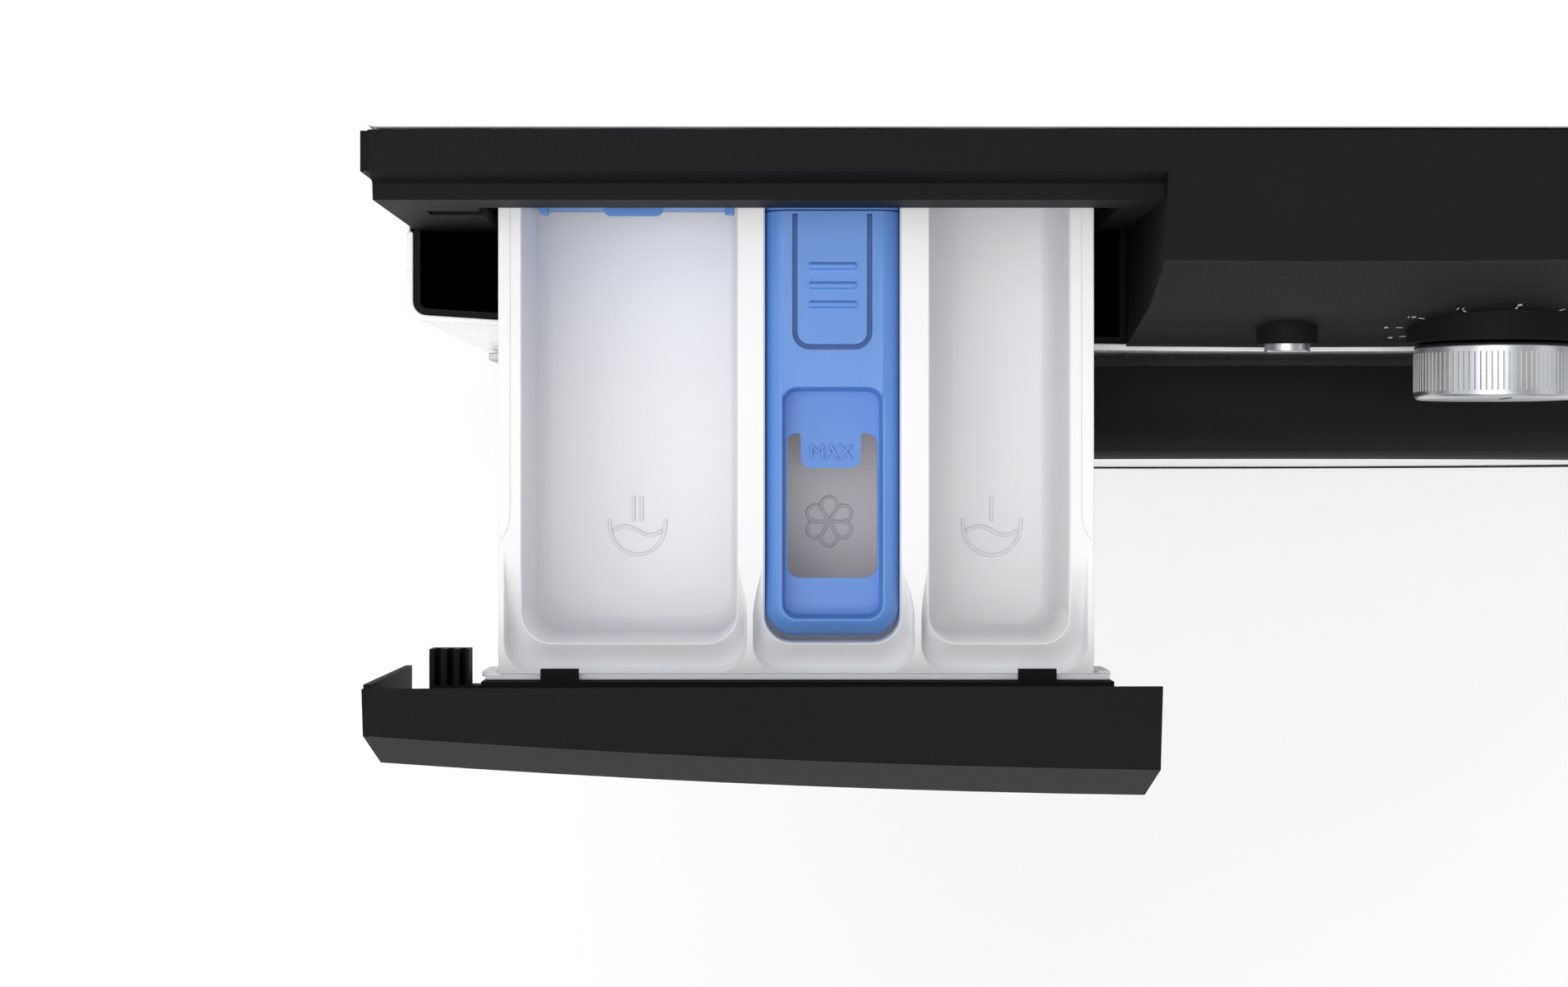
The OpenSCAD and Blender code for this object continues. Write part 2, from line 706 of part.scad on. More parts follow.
module drain_hose() {
    r = drain_d / 2 - 1;
    y0 = sump_y + 60;
    z = pump_z - 18;
    color(GREY) {
        rod_y(drain_x, z, y0 + r + 0.4, back_y - 12, r);
        rod_y(drain_x, z, back_y - 12, back_y + 16, drain_d / 2);
    }
}

module sump_hose() {
    color(RUBBER) tube_z(sump_x, sump_y, pump_z + 36, tub_under(sump_x - neck_r - 4) - 3, neck_r + 3.2, neck_r + 0.2);
}

module dispenser_hose() {
    z1 = tray_floor - 6.5;
    z0 = tub_over(inlet_hose_x + neck_r) + 6;
    color(RUBBER) tube_z(inlet_hose_x, inlet_hose_y, z0, z1, neck_r + 3.2, neck_r + 0.2);
}

module fill_hose() {
    color(RUBBER) rod_y(valve_x + 2, valve_z, housing_back + 14.2, back_y - 58, 8);
}

module inlet_valve() {
    y1 = back_y - 10.5;
    color(BLUE) {
        difference() {
            rod_y(valve_x, valve_z, y1 - 4, back_y + 8, inlet_d / 2);
            rod_y(valve_x, valve_z, y1 + 4, back_y + 9, inlet_d / 2 - 3);
        }
        box(valve_x - 15, valve_x + 15, y1 - 47, y1 - 2, valve_z - 18, valve_z + 18);
    }
}

module cable_gland() {
    y1 = back_y - 10.5;
    color(BLACK) difference() {
        union() {
            rod_y(gland_x, gland_z, y1 - 8, y1 + 8, cable_d / 2 + 3.8);
            rod_y(gland_x, gland_z, y1 + sheet + 0.1, y1 + 5, cable_d / 2 + 8);
        }
        rod_y(gland_x, gland_z, y1 - 9, y1 + 9, cable_d / 2);
    }
}

module foot(x, y) {
    color(RUBBER) {
        rod_z(x, y, 0, 8, foot_d / 2);
        rod_z(x, y, 8, 11, foot_d / 2 - 6);
        translate([x, y, 11]) cylinder(h = 4, r = 10, $fn = 6);
        rod_z(x, y, 14, base_z + 32 + foot_travel, stud_d / 2);
    }
}

module foot_front_left() { foot(-foot_x, foot_front_y); }
module foot_front_right() { foot(foot_x, foot_front_y); }
module foot_rear_left() { foot(-foot_x, foot_rear_y); }
module foot_rear_right() { foot(foot_x, foot_rear_y); }

// ---- tub ----

module tub_front() {
    y0 = dish_y + 13;
    color(GREY) difference() {
        turned([[tub_mouth, y0], [tub_mouth + tub_wall - 1, y0], [tub_mouth + tub_wall - 1, tub_y], [tub_out, tub_y],
                [tub_out, tub_split - 4], [tub_out + 8, tub_split - 4], [tub_out + 8, tub_split], [tub_r, tub_split],
                [tub_r, tub_y + tub_wall], [tub_mouth, tub_y + tub_wall]]);
        // way through for the heater's plug
        box(-30, 30, tub_y - 1, tub_y + tub_wall + 1, axis_z - tub_r + 3, axis_z - tub_r + 20);
    }
}

module tub_rear() {
    rib = 5;
    color(GREY) difference() {
        union() {
            turned([[tub_r, tub_split], [tub_out + 8, tub_split], [tub_out + 8, tub_split + 4], [tub_out, tub_split + 4],
                    [tub_out, tub_end], [62, tub_end], [46, hub_end], [bearing_r + fit, hub_end], [bearing_r + fit, hub_start],
                    [56, hub_start], [66, tub_end - tub_wall], [tub_r, tub_end - tub_wall]]);
            // ribs on the back
            for (a = [0:30:330]) translate([0, 0, axis_z]) rotate([0, a, 0])
                box(-rib / 2, rib / 2, tub_end - 0.5, tub_end + 12, 58, tub_out - 6);
            difference() {
                union() {
                    // lugs of the dampers, springs and motor
                    for (x = [-1, 1]) {
                        translate([x * damper_x, 0, 0]) box(-9, 9, damper_y - 10, damper_y + 10, lug_z, lug_z + 25);
                        translate([x * spring_x, 0, 0]) box(-9, 9, spring_y - 8, spring_y + 8, tub_over(spring_x) - 10, spring_low - 0.3);
                    }
                    for (y = [motor_y + 20, motor_y + 74], x = [motor_x - 44, motor_x + 32])
                        box(x, x + 12, y, y + 14, motor_z + motor_d / 2 - 26, tub_under(x + 6) + 3);
                    // necks of the sump and the filling hose
                    rod_z(sump_x, sump_y, tub_under(sump_x) - 40, tub_under(sump_x) + 24, neck_r);
                    rod_z(inlet_hose_x, inlet_hose_y, tub_over(inlet_hose_x) - 24, tub_over(inlet_hose_x) + 32, neck_r);
                }
                rod_y(0, axis_z, tub_split - 1, tub_end, tub_r + 1);
            }
        }
        rod_z(sump_x, sump_y, tub_under(sump_x) - 50, axis_z, neck_r - 2);
        rod_z(inlet_hose_x, inlet_hose_y, axis_z, tub_over(inlet_hose_x) + 40, neck_r - 2);
        rod_y(motor_x, motor_z, motor_y - 1, motor_y + motor_len + 1, motor_d / 2 + 0.3);
    }
}

module bearings() {
    color(STEEL) for (y = [hub_start + 0.5, hub_end - 18]) difference() {
        rod_y(0, axis_z, y, y + 17, bearing_r);
        rod_y(0, axis_z, y - 1, y + 18, shaft_r + fit);
    }
}

module counterweight_top() {
    color(STONE) difference() {
        box(-128, 128, spring_y - 42, spring_y + 62, axis_z + 205, worktop_z - 66);
        rod_y(0, axis_z, spring_y - 50, spring_y + 70, tub_out + 0.4);
    }
}

module counterweight_front() {
    r0 = tub_mouth + 10;
    color(STONE) intersection() {
        turned([[r0, tub_y - 16], [tub_out - 8, tub_y - 16], [tub_out - 2, tub_y - 0.2], [r0, tub_y - 0.2]]);
        difference() {
            box(-300, 300, front_y, tub_y + 1, 0, axis_z - 42);
            box(-34, 34, front_y, tub_y + 1, 0, axis_z - tub_r + 24);
        }
    }
}

module heater() {
    r = tub_r - drum_gap / 2;
    x = 20;
    z = axis_z - sqrt(r * r - x * x);
    y1 = drum_end - 60;
    color(STEEL) {
        for (s = [-1, 1]) {
            rod_y(s * x, z, tub_y + 2, y1, heater_r);
            translate([s * x, y1, z]) sphere(r = heater_r, $fn = 32);
        }
        translate([-x, y1, z]) rotate([0, 90, 0]) cylinder(h = 2 * x, r = heater_r);
        box(-29.8, 29.8, tub_y - 3, tub_y + tub_wall + 1, axis_z - tub_r + 3.2, axis_z - tub_r + 19.8);
        for (s = [-1, 1]) box(s * 14 - 3, s * 14 + 3, tub_y - 13, tub_y - 2, axis_z - tub_r + 11, axis_z - tub_r + 12);
    }
}

module motor() {
    y1 = motor_y + motor_len;
    color(ZINC) difference() {
        union() {
            rod_y(motor_x, motor_z, motor_y, motor_y + 18, motor_d / 2);
            rod_y(motor_x, motor_z, motor_y + 18, y1 - 18, motor_d / 2 - 5);
            rod_y(motor_x, motor_z, y1 - 18, y1, motor_d / 2);
        }
        rod_y(motor_x, motor_z, motor_y + 12, y1 - 12, motor_d / 2 - 12);
        rod_y(motor_x, motor_z, y1 - 20, y1 + 1, 6 + fit);
    }
}

module motor_pulley() {
    r = motor_pulley_d / 2;
    y1 = motor_y + motor_len;
    color(STEEL) {
        rod_y(motor_x, motor_z, y1 - 60, pulley_y + pulley_w, 6);
        rod_y(motor_x, motor_z, pulley_y, pulley_y + 1.5, r + 2.5);
        rod_y(motor_x, motor_z, pulley_y + 1.5, pulley_y + pulley_w - 1.5, r);
        rod_y(motor_x, motor_z, pulley_y + pulley_w - 1.5, pulley_y + pulley_w, r + 2.5);
    }
}

module belt_loop(grow) {
    hull() {
        translate([0, axis_z]) circle(r = pulley_d / 2 + grow);
        translate([motor_x, motor_z]) circle(r = motor_pulley_d / 2 + grow);
    }
}

module drive_belt() {
    color(BLACK) translate([0, pulley_y + pulley_w - 2.2, 0]) rotate([90, 0, 0])
        linear_extrude(pulley_w - 4.4) difference() {
            belt_loop(2.4);
            belt_loop(0.3);
        }
}

// ---- drum ----

module drum_shell() {
    r1 = drum_r + drum_t;
    m = glass_d / 2 + 8;
    color(STEEL) turned([[r1, drum_y], [r1, drum_end], [drum_r, drum_end], [drum_r, drum_y + drum_t], [m + 3, drum_y + drum_t],
                         [m + 3, drum_y + 5], [m, drum_y + 5], [m, drum_y - 3], [m + 3, drum_y - 3], [m + 3, drum_y]]);
}

module drum_back() {
    color(STEEL) turned([[0, drum_end - 14], [78, drum_end - 14], [100, drum_end - 2], [drum_r - 0.1, drum_end - 2],
                         [drum_r - 0.1, drum_end], [98, drum_end], [77, drum_end - 12], [0, drum_end - 12]]);
}

module lifters() {
    color(TRAY) for (a = [30, 150, 270]) translate([0, 0, axis_z]) rotate([0, a, 0]) difference() {
        translate([drum_r, 0, 0]) rotate([-90, 0, 0]) linear_extrude(drum_end - 18, convexity = 4)
            polygon([[4, -34], [4, 34], [-12, 26], [-46, 9], [-52, 0], [-46, -9], [-12, -26]]);
        rotate([-90, 0, 0]) difference() {
            translate([0, 0, -400]) cylinder(h = 900, r = drum_r + 60);
            translate([0, 0, -401]) cylinder(h = 902, r = drum_r - 0.3);
        }
        box(-400, 400, -1, drum_y + 16, -60, 60);
    }
}

module spider() {
    y0 = drum_end + 0.2;
    color(ZINC) difference() {
        union() {
            rod_y(0, axis_z, y0 - 12, hub_start - 3, 34);
            for (a = [90, 210, 330]) translate([0, 0, axis_z]) rotate([0, a, 0])
                box(-15, 15, y0, drum_end + 12, 0, drum_r - 8);
        }
        rod_y(0, axis_z, y0 - 13, drum_end + 18, shaft_r);
        // room for the pressed middle of the drum's back
        turned([[0, drum_end - 20], [76, drum_end - 20], [76, drum_end - 11.9], [98, drum_end + 0.1], [0, drum_end + 0.1]]);
    }
}

module drum_shaft() {
    color(STEEL) {
        rod_y(0, axis_z, drum_end + 0.2, pulley_y + pulley_w - 2, shaft_r);
        rod_y(0, axis_z, pulley_y + pulley_w - 2, pulley_y + pulley_w + 8, 9);
    }
}

module drum_pulley() {
    r = pulley_d / 2;
    rim = 12;
    color(STEEL) difference() {
        union() {
            difference() {
                rod_y(0, axis_z, pulley_y, pulley_y + pulley_w, r);
                rod_y(0, axis_z, pulley_y - 1, pulley_y + pulley_w + 1, r - rim);
            }
            rod_y(0, axis_z, pulley_y, pulley_y + pulley_w, 30);
            for (a = [0:60:300]) translate([0, 0, axis_z]) rotate([0, a, 0])
                box(-8, 8, pulley_y + 3, pulley_y + pulley_w - 3, 20, r - rim + 1);
        }
        rod_y(0, axis_z, pulley_y - 1, pulley_y + pulley_w - 2, shaft_r);
        rod_y(0, axis_z, pulley_y, pulley_y + pulley_w + 1, 9);
    }
}

// ---- detergent drawer ----

module drawer_tray() {
    t = 2;
    x1 = tray_x + tray_w;
    rail = 3;
    rim_z = tray_z - rail;
    wells = [[main_x, main_w, 10], [soft_x, soft_w, 9], [pre_x, pre_w, 9]];
    color(TRAY) {
        difference() {
            union() {
                box(tray_x, x1, tray_front, tray_back, rim_z, tray_z);
                // skirts that run in the housing
                for (x = [tray_x, x1 - t]) box(x, x + t, tray_front + 4, tray_back, tray_z - 30, tray_z);
                // flange that the drawer front clips to
                box(tray_x - 4, x1 + 5, tray_front - 2, tray_front, tray_z - 34, tray_z - 0.5);
                for (w = wells) well(w[0] - t, w[0] + w[1] + t, well_front - t, well_back + t, tray_floor - t, tray_z, w[2] + t);
            }
            for (w = wells) well(w[0], w[0] + w[1], well_front, well_back, tray_floor, tray_z + 1, w[2]);
        }
    }
}

top_slope = (fascia_z - crease_z) / fascia_top_d;
grip_d = 22; // depth of the finger space under the drawer front

module drawer_front() {
    t = 2.2;
    inner_x = notch_x - 1.5;
    grip_y = mid_y + grip_d;
    end_y = notch_y - 0.4; // back edge, closed
    far = 30;
    top_z = crease_z + top_slope * (fascia_top_d + far);
    outer = [[fascia_y + far, top_z], [crease_y, crease_z], [mid_y, mid_z], [fascia_y + far, mid_z]];
    inner = [[fascia_y + far + 1, top_z - t], [crease_y + t - 0.4, crease_z - t],
             [mid_y + t + 0.4, mid_z + t], [fascia_y + far + 1, mid_z + t]];
    color(BLACK) {
        translate([0, front_shift, 0]) {
            intersection() {
                bowed(outer);
                difference() {
                    along_x([[front_y - 9, low_z], [lip_y - 0.5, low_z], [lip_y - 0.5, lip_z + 1.4],
                             [notch_y - 3.2, lip_z + 1.4], [end_y, fascia_z - 2.8], [end_y, body_h],
                             [front_y - 9, body_h]], -half_w, inner_x);
                    difference() {
                        bowed(inner);
                        // end walls and the rib over the finger space
                        box(-half_w - 1, -half_w + t, front_y - 9, back_y, 0, body_h);
                        box(inner_x - t, inner_x + 1, front_y - 9, back_y, 0, body_h);
                    }
                    box(-half_w + t, inner_x - t, grip_y + t, back_y, 0, mid_z + t + 0.1);
                }
            }
            // left end goes on down, and the wall behind the fingers
            box(-half_w, -half_w + t, grip_y, end_y, cheek_z + 1.5, crease_z - 1);
            box(-half_w, -half_w + 6, grip_y, grip_y + t, cheek_z + 1.5, mid_z + 1);
            box(-half_w + 5.5, inner_x, grip_y, grip_y + t, low_z + 0.8, mid_z + 1);
        }
        // plate behind the front that meets the tray's flange
        box(tray_x - 5, tray_x + tray_w + 6, tray_front - 6.2, tray_front - 2.1, tray_floor - 4, tray_z + 4);
        for (x = [tray_x + 6, inner_x - 20])
            box(x, x + 3, grip_y + front_shift + 1, tray_front - 6, low_z + 16, mid_z - 9);
        // clips over the flange
        for (x = [tray_x + 13.5, tray_x + tray_w - 24])
            box(x, x + 12, tray_front - 6, tray_front + 1.8, tray_z + 0.2, tray_z + 3);
        // guide that runs beside the tray
        difference() {
            box(-half_w + 15.4, -half_w + 28, tray_front - 8, tray_front + 7.5, mid_z - 12, mid_z);
            for (k = [0:2]) box(-half_w + 17 + 4 * k, -half_w + 19 + 4 * k, tray_front - 4, tray_front + 9, mid_z - 9, mid_z + 1);
        }
        box(-half_w + 15.4, tray_x - 4, tray_front - 8, tray_front - 4, mid_z - 12, mid_z);
    }
}

// Ends short of the control panel, so that it lifts out of the open drawer
module siphon_insert() {
    gap = 0.6;
    x0 = soft_x + gap;
    x1 = soft_x + soft_w - gap;
    y0 = well_front + 2.6;
    y1 = lip_y - 0.4;
    z1 = tray_z + 0.6;
    z0 = z1 - 14;
    slot = 1.4;
    color(BLUE) {
        difference() {
            well(x0, x1, y0, y1, z0, z1, 9);
            well(x0 + 2, x1 - 2, y0 + 2, y1 - 2, z0 - 1, z1 - 2.4, 7.5);
            // sunk dish with a window in its floor
            well(x0 + 5.4, x1 - 5.4, y0 + 5.6, y0 + 78, z1 - 12, z1 + 1, 4.6);
            // slot around the tongue
            difference() {
                well(x0 + 8.6, x1 - 8.6, y0 + 90, y1 - 20, z0, z1 + 1, 5.5);
                well(x0 + 8.6 + slot, x1 - 8.6 - slot, y0 + 90 + slot, y1 + 9, z0 - 1, z1 + 2, 4.1);
            }
        }
        difference() {
            well(x0 + 4, x1 - 4, y0 + 4.2, y0 + 79.4, z1 - 12, z1 - 1, 6);
            well(x0 + 5.4, x1 - 5.4, y0 + 5.6, y0 + 78, z1 - 10.5, z1, 4.6);
            well(x0 + 8.6, x1 - 7.2, y0 + 18, y0 + 64, z1 - 13, z1 - 9, 3.8);
        }
        // siphon tube
        tube_z((x0 + x1) / 2, y1 - 12, tray_floor + 6, z1 - 2, 6, 4.5);
    }
}

module liquid_flap() {
    x0 = main_x + 2;
    x1 = main_x + main_w - 2;
    y = lip_y + 1.4;
    color(BLUE) {
        box(x0, x1, y - 1, y + 1, tray_floor + 10, tray_z - 8);
        box((x0 + x1) / 2 - 9, (x0 + x1) / 2 + 9, y - 3, y + 1, tray_z - 9, tray_z - 2);
        translate([main_x + fit + 0.5, y, tray_z - 9]) rotate([0, 90, 0]) cylinder(h = main_w - 2 * fit - 1, r = 1.6);
    }
}

side_panel_left();
side_panel_right();
rear_panel();
base_frame();
crossbar();
worktop();
front_panel();
fascia();
display_window();
dispenser_housing();
control_module();
hinge_bracket();
door_lock();
gasket();
damper_tubes();
springs();
drain_pump();
drain_hose();
sump_hose();
dispenser_hose();
fill_hose();
inlet_valve();
cable_gland();
foot_front_left();
foot_front_right();
foot_rear_left();
foot_rear_right();
tub_front();
tub_rear();
counterweight_top();
counterweight_front();
motor();
drive_belt();
bearings();
damper_rods();
heater();
drum_shell();
drum_back();
lifters();
spider();
drum_shaft();
drum_pulley();
motor_pulley();
door_ring();
door_window();
door_back();
door_glass();
door_arm();
door_hook();
door_handle();
drawer_tray();
drawer_front();
siphon_insert();
liquid_flap();
knob();
power_button();
start_button();
service_flap();
filter_cap();
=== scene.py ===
"""Front load washing machine: the finished look of every piece, on the frame of its CAD model."""
import json
import math

import bmesh
import bpy
from mathutils import Matrix, Vector
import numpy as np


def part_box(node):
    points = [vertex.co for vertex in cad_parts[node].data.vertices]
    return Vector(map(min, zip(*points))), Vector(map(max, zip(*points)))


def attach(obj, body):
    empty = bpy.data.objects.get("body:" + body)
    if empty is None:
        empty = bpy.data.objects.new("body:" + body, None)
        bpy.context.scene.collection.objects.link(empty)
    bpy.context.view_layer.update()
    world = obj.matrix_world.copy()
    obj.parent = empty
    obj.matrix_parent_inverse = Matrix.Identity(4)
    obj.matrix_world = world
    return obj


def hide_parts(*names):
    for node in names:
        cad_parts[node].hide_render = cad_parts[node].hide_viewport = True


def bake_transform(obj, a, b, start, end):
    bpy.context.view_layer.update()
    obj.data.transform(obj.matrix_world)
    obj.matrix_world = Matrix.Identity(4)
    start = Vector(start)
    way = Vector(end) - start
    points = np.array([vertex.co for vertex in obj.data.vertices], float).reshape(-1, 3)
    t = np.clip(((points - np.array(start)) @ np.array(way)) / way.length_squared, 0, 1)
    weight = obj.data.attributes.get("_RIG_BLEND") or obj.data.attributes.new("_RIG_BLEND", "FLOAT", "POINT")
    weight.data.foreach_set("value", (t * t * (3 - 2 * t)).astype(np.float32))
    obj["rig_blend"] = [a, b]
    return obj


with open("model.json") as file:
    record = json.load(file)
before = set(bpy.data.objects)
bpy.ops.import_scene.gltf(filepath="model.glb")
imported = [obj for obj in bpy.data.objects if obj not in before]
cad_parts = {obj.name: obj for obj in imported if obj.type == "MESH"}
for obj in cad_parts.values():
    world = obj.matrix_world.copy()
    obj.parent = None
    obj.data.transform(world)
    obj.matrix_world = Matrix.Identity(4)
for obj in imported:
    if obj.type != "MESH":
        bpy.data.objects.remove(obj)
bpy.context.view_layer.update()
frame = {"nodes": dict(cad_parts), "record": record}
scene = bpy.context.scene

# ---- Camera, floor and light ----
# A studio camera on a boom looks straight down past the worktop onto the open drawer.
# The floor is a sheet of matt white vinyl, lit by large softboxes.

camera = bpy.data.cameras.new("camera")
camera.lens = 72.85
camera.sensor_width = 36.0
camera.clip_start = 0.05
camera.clip_end = 60.0
eye = bpy.data.objects.new("camera", camera)
eye.location = (-0.171, -0.3207, 1.802)
scene.collection.objects.link(eye)
scene.camera = eye
scene.view_settings.view_transform = "Standard"


def linear(hex_colour):
    """An sRGB hex colour as the linear values that a shader takes."""
    parts = [int(hex_colour[i:i + 2], 16) / 255 for i in (0, 2, 4)]
    return [c / 12.92 if c <= 0.04045 else ((c + 0.055) / 1.055) ** 2.4 for c in parts] + [1.0]


def add(tree, kind, inputs=None, **settings):
    """One node with its settings; an input takes a value or another node's output."""
    made = tree.nodes.new(kind)
    for name, value in settings.items():
        setattr(made, name, value)
    for name, value in (inputs or {}).items():
        if isinstance(value, bpy.types.NodeSocket):
            tree.links.new(value, made.inputs[name])
        else:
            made.inputs[name].default_value = value
    return made


def surface(name, light, dark, rough, grain_mm, relief_mm, patch_mm=60.0, stretch=(1, 1, 1), **shader):
    """A finish whose colour drifts between two tones, with gloss and relief at its grain's real size."""
    finish = bpy.data.materials.new(name)
    finish.use_nodes = True
    tree = finish.node_tree
    tree.nodes.clear()
    place = add(tree, "ShaderNodeTexCoord")
    laid = add(tree, "ShaderNodeMapping", {"Vector": place.outputs["Object"], "Scale": stretch})
    patch = add(tree, "ShaderNodeTexNoise",
                {"Vector": laid.outputs[0], "Scale": 1000 / patch_mm, "Detail": 2.0, "Roughness": 0.55})
    ramp = add(tree, "ShaderNodeValToRGB", {"Fac": patch.outputs["Fac"]})
    for stop, place_on_ramp, colour in ((0, 0.3, dark), (1, 0.7, light)):
        ramp.color_ramp.elements[stop].position = place_on_ramp
        ramp.color_ramp.elements[stop].color = linear(colour)
    grain = add(tree, "ShaderNodeTexNoise",
                {"Vector": laid.outputs[0], "Scale": 1000 / grain_mm, "Detail": 3.0})
    gloss = add(tree, "ShaderNodeMapRange",
                {"Value": grain.outputs["Fac"], "From Min": 0.25, "From Max": 0.75,
                 "To Min": rough[0], "To Max": rough[1]})
    bump = add(tree, "ShaderNodeBump",
               {"Height": grain.outputs["Fac"], "Distance": relief_mm / 1000, "Strength": 0.5})
    skin = add(tree, "ShaderNodeBsdfPrincipled",
               {"Base Color": ramp.outputs["Color"], "Roughness": gloss.outputs["Result"],
                "Normal": bump.outputs["Normal"], **shader})
    add(tree, "ShaderNodeOutputMaterial", {"Surface": skin.outputs["BSDF"]})
    return finish


# White studio vinyl: matt, with a faint mottle
vinyl = surface("studio_vinyl", "FFFFFF", "FDFDFD", (0.85, 0.95), 12.0, 0.05, patch_mm=900)
floor_mesh = bpy.data.meshes.new("studio_floor")
floor_mesh.from_pydata([(-9, -9, 0), (9, -9, 0), (9, 9, 0), (-9, 9, 0)], [], [(0, 1, 2, 3)])
floor_mesh.materials.append(vinyl)
floor = bpy.data.objects.new("studio_floor", floor_mesh)
scene.collection.objects.link(floor)

softboxes = {
    "overhead": ((-0.9, -0.9, 4.2), (0.0, -0.2, 0.8), 3.2, 76),
    "front": ((0.3, -4.2, 2.0), (0.0, 0.0, 0.5), 3.0, 14),
    "left": ((-4.0, 0.6, 2.4), (0.0, 0.0, 0.5), 2.6, 16),
    "right": ((4.0, -0.4, 2.4), (0.0, 0.0, 0.5), 2.6, 12),
    "back": ((0.6, 4.2, 2.6), (0.0, 0.0, 0.6), 3.0, 18),
}
for box_name, (at, towards, width, watts) in softboxes.items():
    lamp = bpy.data.lights.new(box_name, "AREA")
    lamp.size = width
    lamp.energy = watts
    holder = bpy.data.objects.new(box_name, lamp)
    holder.location = at
    holder.rotation_euler = (Vector(towards) - Vector(at)).to_track_quat("-Z", "Y").to_euler()
    scene.collection.objects.link(holder)

sky = bpy.data.worlds.new("studio")
sky.use_nodes = True
sky.node_tree.nodes["Background"].inputs["Color"].default_value = linear("FFFFFF")
sky.node_tree.nodes["Background"].inputs["Strength"].default_value = 0.6
scene.world = sky

# ---- Cabinet ----
# Two side panels and the front panel are deep-drawn sheet steel, primed and stove-enamelled white.
# The base, the rear panel and the crossbar are bare galvanised sheet, folded and screwed.


def plain(obj):
    """The object with its modifiers worked into the mesh, and no modifier left."""
    bpy.context.view_layer.update()
    shape = bpy.data.meshes.new_from_object(obj.evaluated_get(bpy.context.evaluated_depsgraph_get()))
    obj.modifiers.clear()
    obj.data = shape
    return obj


def link(name, mesh, finish):
    """A new object for a mesh given in metres in the machine's frame."""
    mesh.materials.clear()
    mesh.materials.append(finish)
    made = bpy.data.objects.new(name, mesh)
    scene.collection.objects.link(made)
    return made


def fit(obj, body, slot, *nodes):
    """Fits a finished piece to its body, in place of the CAD nodes that it stands for."""
    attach(obj, body)
    if nodes:
        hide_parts(*nodes)
    return obj


def eased(node, finish, edge_mm, steps=2):
    """A copy of a CAD node whose edges are rounded as pressing, moulding or casting leaves them."""
    bm = bmesh.new()
    bm.from_mesh(frame["nodes"][node].data)
    for layer in list(bm.loops.layers.float_vector.values()):
        bm.loops.layers.float_vector.remove(layer)
    bmesh.ops.remove_doubles(bm, verts=bm.verts, dist=2e-5)
    bmesh.ops.dissolve_limit(bm, angle_limit=math.radians(0.12), verts=bm.verts, edges=bm.edges)
    mesh = bpy.data.meshes.new(node + "_finished")
    bm.to_mesh(mesh)
    bm.free()
    for name in [a.name for a in mesh.attributes if a.name == "custom_normal"]:
        mesh.attributes.remove(mesh.attributes[name])
    mesh.shade_smooth()
    obj = link(node + "_finished", mesh, finish)
    bevel = obj.modifiers.new("edge", "BEVEL")
    bevel.width = edge_mm / 1000
    bevel.segments = steps
    bevel.limit_method = "ANGLE"
    bevel.angle_limit = math.radians(38)
    bevel.harden_normals = True
    plain(obj)
    fit(obj, obj_body[node], obj_slot[node], node)
    return obj


obj_body = {n: b for b, nodes in frame["record"]["behaviour"]["bodies"].items() for n in nodes}
obj_slot = {p["node"]: p["material_slot"] for p in frame["record"]["subparts"]}

# Stove enamel on steel: hard gloss over a fine orange peel
enamel = surface("stove_enamel", "F7F7F5", "F2F2F0", (0.22, 0.3), 2.6, 0.02, patch_mm=160,
                 **{"Coat Weight": 0.35, "Coat Roughness": 0.08})
# Hot-dip galvanised sheet: grey spangles that turn the light differently
zinc = surface("galvanised_sheet", "B6B9BB", "A2A6A8", (0.36, 0.48), 7.0, 0.02, patch_mm=14, Metallic=1.0)
eased("side_panel_left", enamel, 0.35)
eased("side_panel_right", enamel, 0.35)
eased("front_panel", enamel, 0.5)
eased("service_flap", enamel, 0.6)
eased("rear_panel", zinc, 0.35)
eased("base_frame", zinc, 0.4)
eased("crossbar", zinc, 0.4)

# ---- Worktop ----
# A chipboard slab with a white melamine face, framed by a moulded edge with a shadow groove.
# Two clips hook it at the front and two screws hold it at the back.

# Melamine laminate: matt pearl, pressed against a fine leather-grain plate
melamine = surface("melamine_laminate", "FBFBFA", "F7F7F6", (0.36, 0.46), 0.9, 0.02, patch_mm=220)
eased("worktop", melamine, 1.1, steps=3)

# ---- Control panel ----
# One injection moulding in black ABS with a spark-eroded grain, snapped onto the cabinet's front.
# Its window is smoked acrylic, and its knob and keys are plated ABS.

# Spark-eroded ABS: a fine even grain that spreads highlights
black_abs = surface("black_abs", "101011", "0D0D0E", (0.62, 0.72), 0.6, 0.03, patch_mm=90,
                    **{"Specular IOR Level": 0.15})
# Smoked acrylic: near-black with a polished face
smoked = surface("smoked_acrylic", "0B0B0C", "08080A", (0.05, 0.09), 40.0, 0.01, patch_mm=200,
                 **{"Coat Weight": 0.6, "Coat Roughness": 0.03})
# Satin chrome on ABS: brushed round, soft and bright
satin_chrome = surface("satin_chrome", "C9CBCD", "B4B7BA", (0.26, 0.36), 0.5, 0.01, patch_mm=30, Metallic=1.0)
eased("fascia", black_abs, 0.9, steps=3)
eased("display_window", smoked, 0.4)
eased("knob", satin_chrome, 1.6, steps=3)
eased("power_button", satin_chrome, 0.8)
eased("start_button", satin_chrome, 0.8)

# ---- Detergent drawer: tray ----
# One injection moulding in white polypropylene: three compartments flare into shallow basins at the
# front, under a rim that stiffens it. It slides in the dispenser and clips into the drawer's front.

